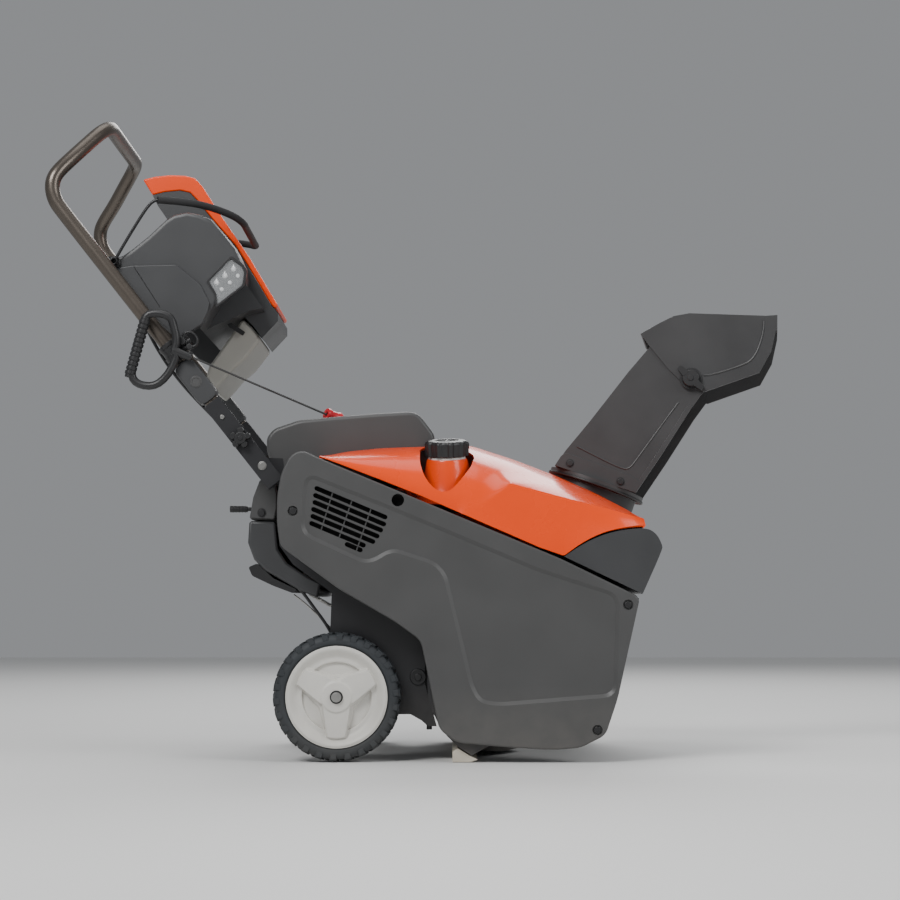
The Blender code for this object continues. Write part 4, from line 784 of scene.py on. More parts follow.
def build_hood():
    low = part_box("hood")[0]
    half = -low.y - 0.0004
    bm = bmesh.new()
    bmesh.ops.create_grid(bm, x_segments=150, y_segments=120, size=0.5)
    for vert in bm.verts:
        x = low.x + (HOOD_FRONT - low.x) * (vert.co.x + 0.5)
        vert.co = hood_place(x, vert.co.y * 2, half)
    face_towards(bm, (0, 0, 1))
    hood = thicken(linked("hood_shell", mesh_from("hood_shell", bm)), HOOD_WALL)
    cap = JOINTS["fuel_cap_turn"]
    axis = Vector(cap["axis"])
    foot = Vector(cap["pos_m"]) - axis * 0.035
    notch = [(-0.0650, 0.540), (-0.0650, 0.472), (-0.0585, 0.451), (-0.0487, 0.4355),
             (-0.0376, 0.4260), (-0.0250, 0.4228), (-0.0138, 0.4275), (-0.0027, 0.4400),
             (0.0084, 0.4543), (0.0170, 0.4660), (0.0205, 0.478), (0.0215, 0.540)]
    hump_low, hump_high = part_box("rear_top_cover")
    opening = bmesh.new()
    add_box(opening, (-0.40, hump_low.y - 0.0005, 0.30),
            (hump_high.x + 0.0005, hump_high.y + 0.0005, 0.70))
    ring = JOINTS["chute_turn"]
    ring_axis, ring_centre = Vector(ring["axis"]), Vector(ring["pos_m"])
    carve(hood, [rod_object("well", foot - axis * 0.05, foot + axis * 0.10, WELL_RADIUS, 64),
                 plate_object("notch", notch, -0.30, foot.y, 0.006, 3),
                 link_mesh("opening", opening),
                 rod_object("ring", ring_centre - ring_axis * 0.08, ring_centre + ring_axis * 0.08,
                            RING_HOLE_RADIUS, 72)])
    round_edges(hood, 0.0011, 2, 50)
    well = bmesh.new()
    profile = [(0.0205, 0.0340), (0.0312, 0.0335), (0.0330, 0.0300), (0.0362, 0.0160),
               (0.0402, 0.0000), (0.0445, -0.0140), (0.0505, -0.0260), (0.0560, -0.0320),
               (0.0550, -0.0340), (0.0490, -0.0280), (0.0380, -0.0020), (0.0205, 0.0300)]
    add_spun(well, profile, foot, axis, 96)
    lip = bmesh.new()
    bmesh.ops.create_grid(lip, x_segments=120, y_segments=3, size=0.5)
    for vert in lip.verts:
        down = vert.co.y + 0.5
        edge = hood_place(HOOD_LIP_X, vert.co.x * 1.98, half)
        vert.co = Vector((HOOD_LIP_X - 0.003 * down, edge.y, edge.z - 0.001
                          + (0.3672 - edge.z + 0.001) * down))
    bmesh.ops.recalc_face_normals(lip, faces=lip.faces)
    front = thicken(link_mesh("hood_lip", lip), HOOD_LIP_WALL)
    join(hood, [link_mesh("well_wall", well), front])
    dress(hood, "Hood paint", "chassis", ("hood",), 28)


class BuildHood(bpy.types.Operator):
    """The hood with its side crease, chute opening and filler well"""

    bl_idname = "snow_blower.hood"
    bl_label = "Hood"

    def execute(self, context):
        build_hood()
        return {"FINISHED"}


class BuildFuelCap(bpy.types.Operator):
    """Scalloped fuel cap over a pale filler collar"""

    bl_idname = "snow_blower.fuel_cap"
    bl_label = "Fuel cap"

    def execute(self, context):
        cap = JOINTS["fuel_cap_turn"]
        axis = Vector(cap["axis"])
        foot = Vector(cap["pos_m"]) - axis * 0.026
        turn = axis.to_track_quat("Z", "Y").to_matrix().to_4x4()
        place = Matrix.Translation(foot) @ turn
        bm = bmesh.new()
        rings, around = ((0.0286, 0.0325, 0.5), (0.0296, 0.0352, 1.0), (0.0480, 0.0362, 1.0),
                         (0.0510, 0.0348, 0.9), (0.0532, 0.0318, 0.5), (0.0540, 0.0270, 0.15),
                         (0.0541, 0.0200, 0.0), (0.0526, 0.0186, 0.0)), 120
        loops = []
        for height, radius, share in rings:
            loop = []
            for number in range(around):
                angle = math.tau * number / around
                wave = max(0.0, math.cos(angle * CAP_SCALLOPS)) ** 0.7
                reach = radius - CAP_SCALLOP_DEPTH * share * (1.0 - wave)
                loop.append((reach * math.cos(angle), reach * math.sin(angle), height))
            loops.append(closed_line(bm, loop)[1])
        for low, high in zip(loops, loops[1:]):
            bmesh.ops.bridge_loops(bm, edges=low + high)
        bmesh.ops.holes_fill(bm, edges=bm.edges[:], sides=around)
        for angle in (0.0, math.pi / 2):
            bar = add_box(bm, (-0.014, -0.0016, 0.0522), (0.014, 0.0016, 0.0540), 0.0006)
            bmesh.ops.rotate(bm, cent=(0, 0, 0), matrix=Matrix.Rotation(angle, 3, "Z"), verts=bar)
        bmesh.ops.transform(bm, matrix=place, verts=bm.verts)
        piece("fuel_cap_top", bm, "Black plastic", "fuel_cap", ("fuel_cap",), 40)
        collar = bmesh.new()
        add_spun(collar, [(0.0205, 0.0283), (0.0285, 0.0283), (0.0296, 0.0270), (0.0300, 0.0195),
                          (0.0300, 0.0150), (0.0205, 0.0150)], foot, axis, 64)
        piece("filler_collar", collar, "White plastic", "chassis")
        return {"FINISHED"}


# Wheels ---------------------------------------------------------------------------------------
def build_tyre(side, sizes):
    low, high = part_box("tyre_" + side)
    centre = (low + high) / 2
    radius, half = (high.z - low.z) / 2, (high.y - low.y) / 2
    lug = sizes.lug_height
    carcass = radius - lug
    bm = bmesh.new()
    flank = ((0.0803, 0.0040), (0.0835, 0.0012), (0.0880, 0.0006), (0.0930, 0.0022),
             (carcass - 0.0012, 0.0060), (carcass, 0.0115))
    profile = [(reach, -half + inset) for reach, inset in flank]
    profile += [(reach, half - inset) for reach, inset in reversed(flank)]
    add_spun(bm, profile, centre, (0, 1, 0), 96)
    count = sizes.lug_count
    for row in (-1, 1):
        for number in range(count):
            angle = math.tau * (number + (0.5 if row > 0 else 0.0)) / count
            block = add_box(bm, (-0.0042, 0.0012, carcass - 0.0030),
                            (0.0042, half - 0.0030, radius - 0.0002), 0.0010)
            for vert in block:
                away = vert.co.y / half
                vert.co.x += 0.0050 * away
                vert.co.x *= 1.0 + 0.35 * away
                vert.co.z -= 0.0030 * max(0.0, away - 0.62) / 0.38
            wall = add_box(bm, (-0.0048, half - 0.0050, 0.0890),
                           (0.0048, half - 0.0002, radius - 0.0042), 0.0009)
            for vert in wall:
                vert.co.x += 0.0046
            both = block + wall
            if row < 0:
                bmesh.ops.scale(bm, vec=(1, -1, 1), verts=both)
            bmesh.ops.rotate(bm, cent=(0, 0, 0), matrix=Matrix.Rotation(angle, 3, "Y"),
                             verts=both)
            bmesh.ops.translate(bm, vec=centre, verts=both)
    piece("tyre_" + side + "_tread", bm, "Tyre rubber", "wheel_" + side,
          ("tyre_" + side,), 32)


def rim_depth(radius, angle):
    """How far the rim's outer face lies behind its flange, at a radius and an angle."""
    spoke = min(abs((angle - at + math.pi) % math.tau - math.pi)
                for at in map(math.radians, RIM_ARM_ANGLES))
    across = radius * math.sin(min(spoke, math.pi / 2))
    width = 0.0225 - 0.20 * (radius - 0.025)
    arm = 1.0 - step(across, width - 0.0016, width + 0.0028)
    arm *= 1.0 - step(radius, 0.0630, 0.0670)
    dish = 0.0095 * (1.0 - step(radius, 0.0600, 0.0770))
    face = dish * (1.0 - 0.82 * arm)
    lens = math.radians(60) - spoke
    inner = 0.033 + 0.020 * min(1.0, abs(lens) / math.radians(40)) ** 2
    hollow = step(radius, inner - 0.0008, inner + 0.0010) * (1.0 - step(radius, 0.0535, 0.0552))
    hollow *= 1.0 - arm
    hub = 1.0 - step(radius, 0.0225, 0.0262)
    return face * (1.0 - hub) + 0.0050 * hollow - 0.0004 * hub


def build_rim(side, sign):
    low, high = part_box("rim_" + side)
    centre = Vector(JOINTS["wheel_" + side + "_spin"]["pos_m"])
    half = max(abs(high.y - centre.y), abs(low.y - centre.y)) - 0.0012
    bm = bmesh.new()
    around, steps = 240, 56
    bmesh.ops.create_grid(bm, x_segments=around, y_segments=steps, size=0.5)
    for vert in bm.verts:
        angle = math.tau * (vert.co.x + 0.5)
        radius = RIM_HOLE_RADIUS + (RIM_REACH - RIM_HOLE_RADIUS) * (vert.co.y + 0.5)
        depth = rim_depth(radius, angle)
        edge = max(0.0, radius - 0.0765) / 0.002
        vert.co = Vector((radius * math.cos(angle) * -sign,
                          sign * (half - depth - 0.0012 * edge ** 2), radius * math.sin(angle)))
    bmesh.ops.remove_doubles(bm, verts=bm.verts, dist=0.00001)
    face_towards(bm, (0, sign, 0))
    bmesh.ops.translate(bm, vec=centre, verts=bm.verts)
    face = thicken(link_mesh("rim_" + side + "_face", bm), RIM_WALL)
    back = bmesh.new()
    add_spun(back, [(0.0800, -half), (0.0800, half - 0.0010), (0.0780, half - 0.0004),
                    (0.0765, half - 0.0030), (0.0765, -half)], centre, (0, sign, 0), 120)
    add_spun(back, [(RIM_HOLE_RADIUS, -half), (0.0200, -half), (0.0230, half - 0.0045),
                    (RIM_HOLE_RADIUS, half - 0.0045)], centre, (0, sign, 0), 48)
    join(face, [link_mesh("rim_back", back)])
    dress(face, "Rim plastic", "wheel_" + side, ("rim_" + side,), 30)
    bush = bmesh.new()
    add_spun(bush, [(0.0083, half - 0.006), (0.0104, half - 0.006), (0.0104, half + 0.0018),
                    (0.0098, half + 0.0026), (0.0083, half + 0.0026)], centre, (0, sign, 0), 40)
    piece("axle_bush_" + side, bush, "Black plastic", "wheel_" + side)
    cap = bmesh.new()
    end = high.y if sign > 0 else low.y
    add_cross_rod(cap, centre.x, centre.z, end - sign * 0.004, end + sign * 0.0052, 0.0078, 32,
                  None, 0.0022)
    piece("axle_end_" + side, cap, "Zinc steel", "chassis")


class BuildWheels(bpy.types.Operator):
    """Tyres with shoulder lugs, three-armed rims, bushes and axle ends"""

    bl_idname = "snow_blower.wheels"
    bl_label = "Wheels"

    def execute(self, context):
        for side, sign in SIDES:
            build_tyre(side, context.scene.snow_blower_sizes)
            build_rim(side, sign)
        return {"FINISHED"}


# Covers ---------------------------------------------------------------------------------------
class BuildCovers(bpy.types.Operator):
    """Hump, front cap, rear covers and flap, their screws, spring and wires, and the low parts"""

    bl_idname = "snow_blower.covers"
    bl_label = "Covers"

    def execute(self, context):
        low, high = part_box("rear_top_cover")
        outline = [(-0.296, 0.450), (-0.314, 0.492), (-0.315, 0.516), (-0.303, 0.531),
                   (-0.262, 0.545), (-0.197, 0.551), (-0.131, 0.556), (-0.078, 0.559),
                   (-0.066, 0.553), (-0.042, 0.521), (-0.042, 0.450)]
        hump = plate_object("rear_top_cover_shell", outline, low.y, high.y, 0.010, 5)
        round_edges(hump, 0.0095, 5, 50)
        bm = bmesh.new()
        add_box(bm, (-0.29, low.y + 0.008, 0.40), (-0.050, high.y - 0.008, 0.500))
        carve(hump, [link_mesh("room", bm)])
        dress(hump, "Body plastic", "chassis", ("rear_top_cover",), 40)
        low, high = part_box("front_cap")
        outline = [Vector((0.1623, 0.3214))] + eased(
            [Vector(spot) for spot in ((0.1623, 0.3214), (0.190, 0.3405), (0.222, 0.3555),
                                       (0.254, 0.3636), (0.291, 0.3668), (0.307, 0.3580),
                                       (0.3162, 0.3400), (0.3163, 0.3320), (0.285, 0.2630))],
            2)[1:]
        cap = plate_object("front_cap_shell", outline, low.y, high.y)
        room = [(0.176, 0.3190), (0.192, 0.3345), (0.223, 0.3495), (0.254, 0.3580),
                (0.289, 0.3610), (0.299, 0.356), (0.307, 0.345), (0.310, 0.334),
                (0.283, 0.2730), (0.20, 0.29)]
        ring = JOINTS["chute_turn"]
        way, centre = Vector(ring["axis"]), Vector(ring["pos_m"])
        carve(cap, [plate_object("room", room, low.y + 0.006, high.y - 0.006),
                    rod_object("passage", centre - way * 0.16, centre, 0.0745, 64)])
        round_edges(cap, 0.0024, 4, 35)
        dress(cap, "Console plastic", "chassis", ("front_cap",), 40)
        for node, *rounding in (("rear_frame", 0.0006), ("scraper_bar", 0.0010),
                                ("auger_paddle_a", 0.0008), ("auger_paddle_b", 0.0008),
                                ("muffler", 0.0020), ("rear_cover_upper", 0.0022, 3, 35),
                                ("rear_cover_lower", 0.0022, 3, 35)):
            softened(node, *rounding)
        flap = bmesh.new()
        add_plate(flap, [(-0.340, 0.306), (-0.334, 0.292), (-0.300, 0.276), (-0.268, 0.264),
                         (-0.262, 0.270), (-0.300, 0.288), (-0.326, 0.312)],
                  -0.198, 0.198, 0.003, 3)
        piece("rear_flap", flap, "Paddle rubber", "chassis")
        screws = bmesh.new()
        for _, sign in SIDES:
            add_screw(screws, -0.319, sign * 0.2012, 0.393, sign, 0.0052)
            add_screw(screws, -0.068, sign * 0.2062, 0.131, sign, 0.0058)
            add_cross_rod(screws, -0.068, 0.131, sign * 0.2062, sign * 0.2090, 0.0135, 32, 0.0125,
                          0.0008)
            add_screw(screws, -0.068, sign * 0.2088, 0.131, sign, 0.0058)
            add_rod(screws, (-0.050, sign * 0.199, 0.0545), (-0.050, sign * 0.199, 0.0475), 0.0045,
                    16, None, 0.0008)
        piece("cover_screws", screws, "Black plastic", "chassis")
        points = []
        for number in range(97):
            angle = math.tau * number / 8
            share = number / 96
            points.append((-0.240 + 0.036 * share + 0.0045 * math.cos(angle),
                           -0.190 + 0.0045 * math.sin(angle), 0.262 - 0.020 * share))
        spring = bead_mesh("return_spring", points, 0.0009, 2)
        wire = bead_mesh("throttle_wire", eased(
            [(-0.268, -0.185, 0.262), (-0.252, -0.186, 0.250), (-0.232, -0.187, 0.232),
             (-0.214, -0.188, 0.214), (-0.206, -0.188, 0.206)]), 0.0014, 2)
        dress(join(spring, [wire]), "Zinc steel", "chassis")
        lead = bead_mesh("drive_lead", eased(
            [(-0.262, -0.195, 0.276), (-0.250, -0.196, 0.262), (-0.234, -0.196, 0.240),
             (-0.216, -0.195, 0.216), (-0.206, -0.193, 0.198)]), 0.0026, 3)
        dress(lead, "Black plastic", "chassis")
        return {"FINISHED"}


class BuildChoke(bpy.types.Operator):
    """Choke peg with a ribbed end"""

    bl_idname = "snow_blower.choke"
    bl_label = "Choke"

    def execute(self, context):
        low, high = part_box("choke_knob")
        y, z = (low.y + high.y) / 2, (low.z + high.z) / 2
        bm = bmesh.new()
        add_rod(bm, (high.x, y, z), (low.x + 0.028, y, z), 0.0033, 20)
        add_rod(bm, (low.x + 0.030, y, z), (low.x, y, z), 0.0052, 24, 0.0056, 0.0010)
        for number in range(5):
            x = low.x + 0.004 + number * 0.0052
            add_rod(bm, (x, y, z), (x + 0.0022, y, z), 0.0058, 24, None, 0.0006)
        piece("choke_peg", bm, "Black plastic", "choke", ("choke_knob",))
        return {"FINISHED"}


# Chute ----------------------------------------------------------------------------------------
def chute_matrix():
    ring = JOINTS["chute_turn"]
    tilt = math.atan2(ring["axis"][0], ring["axis"][2])
    return (Matrix.Translation(ring["pos_m"]) @ Matrix.Rotation(tilt, 4, "Y")
            @ Matrix.Rotation(math.radians(CHUTE_TURN_AT_REST), 4, "Z"))


def chute_beads(name, lines, sign, half, radius, body, place):
    made = []
    for line in lines:
        points = [place @ Vector((x, sign * half, z)) for x, z in line]
        made.append(bead_mesh(name, eased(points, 2), radius, 3))
    return dress(join(made[0], made[1:]), "Chute plastic", body)


class BuildChute(bpy.types.Operator):
    """Chute, ring and deflector with their folds, flanges, screws and wing knobs"""

    bl_idname = "snow_blower.chute"
    bl_label = "Chute"

    def execute(self, context):
        place = chute_matrix()
        softened("chute", 0.0011, 2, 30, "Chute plastic")
        softened("deflector", 0.0011, 2, 30, "Chute plastic")
        softened("chute_ring", 0.0010, 2, 35, "Black plastic")
        half, outer = CHUTE_HALF, DEFLECTOR_HALF
        for side, sign in SIDES:
            chute_beads("chute_fold_" + side,
                        [[(0.0915, 0.176), (0.080, 0.140), (0.0565, 0.062), (0.051, 0.046),
                          (0.040, 0.040), (-0.044, 0.052)]], sign, half, 0.0016, "chute", place)
            chute_beads("deflector_fold_" + side,
                        [[(0.181, 0.349), (0.186, 0.334), (0.188, 0.305), (0.184, 0.282),
                          (0.172, 0.268), (0.128, 0.236), (0.116, 0.232)]], sign, outer, 0.0017,
                        "deflector", place)
            foot = bmesh.new()
            outline = [(-0.069, 0.0100), (-0.064, 0.030), (-0.058, 0.036), (0.060, 0.0345),
                       (0.076, 0.030), (0.074, 0.0100)]
            add_plate(foot, outline, sign * (half - 0.0002), sign * (half + 0.0014), 0.003, 3)
            strip = [(0.0740, 0.0100), (0.0660, 0.0100), (0.0860, 0.086), (0.1040, 0.163),
                     (0.1080, 0.178), (0.1155, 0.178), (0.1140, 0.171), (0.0940, 0.086)]
            add_plate(foot, strip, sign * (half - 0.0002), sign * (half + 0.0012), 0.002, 2)
            bmesh.ops.transform(foot, matrix=place, verts=foot.verts)
            made = link_mesh("chute_band_" + side, foot)
            round_edges(made, 0.0005, 2, 40)
            dress(made, "Chute plastic", "chute")
            screws = bmesh.new()
            for x, z in ((-0.046, 0.0215), (0.044, 0.0195)):
                add_screw(screws, x, sign * (half + 0.0014), z, sign, 0.0052)
            bmesh.ops.transform(screws, matrix=place, verts=screws.verts)
            piece("chute_screws_" + side, screws, "Black plastic", "chute")
            x, z = 0.0984, 0.2195
            knob = bmesh.new()
            start = sign * (outer + 0.0004)
            add_cross_rod(knob, x, z, start, start + sign * 0.0120, 0.0150, 40, 0.0138, 0.0016)
            add_cross_rod(knob, x, z, start, start + sign * 0.0026, 0.0185, 40, None, 0.0008)
            for way in (-1, 1):
                add_plate(knob, [(x + way * 0.010, z - 0.0062), (x + way * 0.027, z - 0.0040),
                                 (x + way * 0.027, z + 0.0040), (x + way * 0.010, z + 0.0062)],
                          start + sign * 0.0030, start + sign * 0.0125, 0.0022, 3)
            add_cross_rod(knob, x, z, start, start + sign * 0.0136, 0.0052, 6, None, 0.0006)
            bmesh.ops.rotate(knob, cent=(x, 0, z), verts=knob.verts,
                             matrix=Matrix.Rotation(math.radians(24), 3, "Y"))
            bmesh.ops.transform(knob, matrix=place, verts=knob.verts)
            piece("wing_knob_" + side, knob, "Black plastic", "deflector_knob_" + side,
                  ("deflector_knob_" + side,))
        return {"FINISHED"}


# Console --------------------------------------------------------------------------------------
SHELL_LOWER = [(-0.5740, 0.7810), (-0.5690, 0.7840), (-0.5300, 0.7905), (-0.4580, 0.7925),
               (-0.4180, 0.7600), (-0.4030, 0.7300), (-0.4060, 0.7160), (-0.4150, 0.6960),
               (-0.4460, 0.6750), (-0.4640, 0.6810)]
LAMP_LINE = [(-0.3706, 0.8046), (-0.3514, 0.7916), (-0.3464, 0.7819), (-0.3495, 0.7590),
             (-0.3929, 0.7249), (-0.3946, 0.7444), (-0.4077, 0.7656)]


class BuildConsole(bpy.types.Operator):
    """Console shell, cover and under-shield, and the lamps with their surrounds and glass"""

    bl_idname = "snow_blower.console"
    bl_label = "Console"

    def execute(self, context):
        softened("console_shell", 0.0016, 3, 25, "Console plastic")
        softened("console_cover", 0.0022, 3, 30, "Cover paint")
        softened("under_shield", 0.0020, 3, 30, "Shield plastic")
        low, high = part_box("console_shell")
        for side, sign in SIDES:
            face = sign * min(abs(low.y), abs(high.y))
            lower = plate_object("console_lower_" + side, SHELL_LOWER, face - sign * 0.002,
                                 face + sign * 0.0042, 0.004, 4)
            round_edges(lower, 0.0026, 3, 40)
            dress(lower, "Console plastic", "handle", (), 40)
            seam = bead_mesh("seam", [(-0.526, face + sign * 0.0042, 0.7890),
                                      (-0.483, face + sign * 0.0042, 0.7230)], 0.0006, 2)
            dress(seam, "Black plastic", "handle")
            centre = Vector((-0.377, 0.768))
            wide = [tuple(centre + (Vector(spot) - centre) * 1.07) for spot in LAMP_LINE]
            thin = [tuple(centre + (Vector(spot) - centre) * 0.93) for spot in LAMP_LINE]
            surround = plate_object("lamp_surround_" + side, wide, face - sign * 0.004,
                                    face + sign * 0.0016, 0.003, 3)
            carve(surround, [plate_object("opening", thin, face - sign * 0.02,
                                          face + sign * 0.02, 0.003, 3)])
            round_edges(surround, 0.0009, 2, 40)
            dress(surround, "Black plastic", "handle", (), 40)
            bowl = bmesh.new()
            add_plate(bowl, thin, face - sign * 0.0056, face - sign * 0.0042, 0.003, 3)
            piece("lamp_back_" + side, bowl, "Lens plastic", "handle",
                  ("headlight_" + side,))
            drops = bmesh.new()
            for x, z in ((-0.3935, 0.7640), (-0.3800, 0.7755), (-0.3660, 0.7865)):
                made = add_cross_rod(drops, x, z, face - sign * 0.0044, face - sign * 0.0012,
                                     0.0048, 24, 0.0022, 0.0006)
                for vert in made:
                    if vert.co.z > z:
                        vert.co.z = z + (vert.co.z - z) * 1.9
                        vert.co.x = x + (vert.co.x - x) * max(0.12, 1 - (vert.co.z - z) / 0.0095)
            for x, z in ((-0.3850, 0.7530), (-0.3720, 0.7640), (-0.3590, 0.7750)):
                add_cross_rod(drops, x, z, face - sign * 0.0044, face - sign * 0.0018, 0.0036, 24,
                              0.0028, 0.0006)
            piece("lamp_reflectors_" + side, drops, "Reflector", "handle")
            glass = bmesh.new()
            add_plate(glass, thin, face - sign * 0.0002, face - sign * 0.0008, 0.003, 3)
            piece("lamp_glass_" + side, glass, "Clear lens", "handle")
            clip = bmesh.new()
            add_plate(clip, [(-0.3900, 0.7190), (-0.3560, 0.6960), (-0.3600, 0.6900),
                             (-0.3830, 0.7040)], sign * 0.1055, sign * 0.1085, 0.001, 2)
            piece("console_clip_" + side, clip, "Black plastic", "handle")
        return {"FINISHED"}


# Handle ---------------------------------------------------------------------------------------
def up_handle(distance, across=0.0):
    """A point up the handle's line from the fold pivot, `across` towards the front."""
    pivot = Vector(JOINTS["handle_fold"]["pos_m"])
    rise = math.radians(HANDLE_SLOPE)
    up = Vector((math.cos(rise), 0.0, math.sin(rise)))
    forward = Vector((math.sin(rise), 0.0, -math.cos(rise)))
    return pivot + up * distance + forward * across


class BuildHandle(bpy.types.Operator):
    """Handle loop with its brackets, covers, bolts, star knobs, rope holder and cable"""

    bl_idname = "snow_blower.handle"
    bl_label = "Handle"

    def execute(self, context):
        side_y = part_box("handle_loop")[1].y - TUBE_RADIUS
        start = up_handle(-0.018)
        sides = [(start.x, -side_y, start.z), (-0.640, -side_y, 0.877), (-0.650, -side_y, 0.893),
                 (-0.6545, -side_y, 0.910), (-0.6535, -side_y + 0.001, 0.926),
                 (-0.646, -side_y + 0.006, 0.941), (-0.626, -side_y + 0.022, 0.966),
                 (-0.603, -side_y + 0.049, 0.997), (-0.590, -side_y + 0.064, 1.014),
                 (-0.581, -side_y + 0.080, 1.0245), (-0.577, -side_y + 0.098, 1.0295),
                 (-0.577, -side_y + 0.125, 1.0300)]
        loop = bead_mesh("handle_tube", both_sides(eased(sides, 3)), TUBE_RADIUS, 10)
        dress(loop, "Handle paint", "handle", ("handle_loop",), 50)
        for side, sign in SIDES:
            softened("handle_bracket_" + side, 0.0007, 2, 30, "Powder coat")
            softened("bracket_cover_" + side, 0.0014, 3, 30, "Console plastic")
            y = sign * side_y
            badge = bmesh.new()
            spot = up_handle(0.170)
            add_cross_rod(badge, spot.x, spot.z, y + sign * 0.0150, y + sign * 0.0171, 0.0098, 40,
                          None, 0.0008)
            add_spun(badge, [(0.0062, 0.0), (0.0080, 0.0), (0.0078, 0.0008), (0.0064, 0.0008)],
                     (spot.x, y + sign * 0.0171, spot.z), (0, sign, 0), 40)
            piece("cover_badge_" + side, badge, "Body plastic", "handle")
            bolts = bmesh.new()
            pivot, upper = up_handle(0.0), up_handle(0.100, -0.002)
            for spot, stand, *shape in ((pivot, 0.0195, 0.0056, 6, None, 0.0008),
                                        (pivot, 0.0172, 0.0070, 28, None, 0.0005),
                                        (upper, 0.0180, 0.0036, 24, None, 0.0008)):
                add_cross_rod(bolts, spot.x, spot.z, y + sign * 0.0100, y + sign * stand, *shape)
            piece("handle_bolts_" + side, bolts, "Zinc steel", "chassis")
            knob = bmesh.new()
            spot = up_handle(0.055)
            start = y + sign * 0.0167
            add_cross_rod(knob, spot.x, spot.z, start, start + sign * 0.0130, 0.0102, 30, 0.0094,
                          0.0014)
            for number in range(5):
                angle = math.tau * number / 5 + 0.3
                add_cross_rod(knob, spot.x + 0.0118 * math.cos(angle),
                              spot.z + 0.0118 * math.sin(angle), start + sign * 0.0010,
                              start + sign * 0.0118, 0.0054, 20, 0.0050, 0.0010)
            add_cross_rod(knob, spot.x, spot.z, start, start + sign * 0.0145, 0.0040, 6, None,
                          0.0005)
            piece("star_knob_" + side, knob, "Black plastic", "fold_knob_" + side,
                  ("fold_knob_" + side,))
        holder = bmesh.new()
        spot, way = up_handle(0.231), (up_handle(0.246) - up_handle(0.216)).normalized()
        y = -side_y
        for along, radius in ((-0.0150, 0.0158), (-0.0052, 0.0176), (0.0050, 0.0158),
                              (0.0140, 0.0168)):
            centre = Vector((spot.x, y, spot.z)) + way * along
            add_rod(holder, centre - way * 0.0036, centre + way * 0.0036, radius, 36, None, 0.0010)
        for across, along, radius, length in ((0.022, 0.004, 0.0062, 0.016),
                                              (0.026, -0.010, 0.0050, 0.014),
                                              (0.020, -0.020, 0.0044, 0.012)):
            tip = up_handle(0.231 + along, across)
            add_cross_rod(holder, tip.x, tip.z, y - 0.010, y - 0.010 - length * 0.5, radius, 20,
                          None, 0.0012)
            add_rod(holder, (spot.x, y - 0.006, spot.z), (tip.x, y - 0.012, tip.z), 0.0042, 16)
        made = link_mesh("rope_holder_ribs", holder)
        join(made, [bead_mesh("loop", [up_handle(0.231 + 0.013 * math.cos(a), 0.034
                                                 + 0.010 * math.sin(a)) + Vector((0, y - 0.004, 0))
                                       for a in [math.tau * k / 24 for k in range(24)]],
                              0.0024, 3, True)])
        dress(made, "Black plastic", "handle", (), 40)
        softened("rope_holder", 0.0006, 2, 40)
        cable = bead_mesh("cable_sleeve", eased(
            [up_handle(*spot) + Vector((0, -0.2195, 0)) for spot in
             ((0.375, 0.006), (0.350, 0.003), (0.320, -0.004), (0.285, -0.012), (0.250, -0.018),
              (0.210, -0.021), (0.170, -0.020), (0.130, -0.016), (0.095, -0.012))], 2), 0.0027, 4)
        dress(cable, "Black plastic", "handle", ("control_cable",))
        return {"FINISHED"}


class BuildBail(bpy.types.Operator):
    """Squeeze bar with its wires, their wound ends and the padded grip"""

    bl_idname = "snow_blower.bail"
    bl_label = "Squeeze bar"

    def execute(self, context):
        pivot = Vector(JOINTS["bail_squeeze"]["pos_m"])
        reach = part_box("bail_wire_left")[1].y - WIRE_RADIUS
        rise = [(-0.557, 0.796), (-0.541, 0.825), (-0.513, 0.872), (-0.501, 0.889),
                (-0.494, 0.8945), (-0.4880, 0.8965)]
        grip = [(-0.4880, 0.0, 0.8965), (-0.452, 0.0165, 0.8965), (-0.420, 0.0345, 0.8945),
                (-0.392, 0.0575, 0.889), (-0.372, 0.0765, 0.883), (-0.3625, 0.0925, 0.878),
                (-0.359, 0.1105, 0.876)]
        for side, sign in SIDES:
            points = eased([(x, sign * reach, z) for x, z in rise], 2)
            wire = bead_mesh("bail_rod_" + side, points, WIRE_RADIUS, 4)
            coil = []
            for number in range(61):
                angle = math.tau * number / 15
                coil.append((pivot.x + 0.0050 * math.cos(angle),
                             sign * (reach - 0.0030 + 0.0110 * number / 60),
                             pivot.z + 0.0050 * math.sin(angle)))
            join(wire, [bead_mesh("coil", coil, 0.0013, 3)])
            dress(wire, "Black wire", "bail", ("bail_wire_" + side,), 50)
            clamp = bmesh.new()
            add_cross_rod(clamp, pivot.x, pivot.z, sign * (reach - 0.010),
                          sign * (reach - 0.0035), 0.0098, 32, None, 0.0012)
            add_plate(clamp, [(-0.586, 0.802), (-0.560, 0.806), (-0.549, 0.798), (-0.552, 0.788),
                              (-0.584, 0.788)], sign * (reach - 0.0098), sign * (reach - 0.0052),
                      0.003, 3)
            piece("bail_clamp_" + side, clamp, "Black plastic", "handle")
        right = eased([(x, y - reach, z) for x, y, z in grip], 3)
        pad = bead_mesh("bail_pad", both_sides(right), 0.0060, 6)
        dress(pad, "Paddle rubber", "bail", ("bail_grip",), 50)
        return {"FINISHED"}


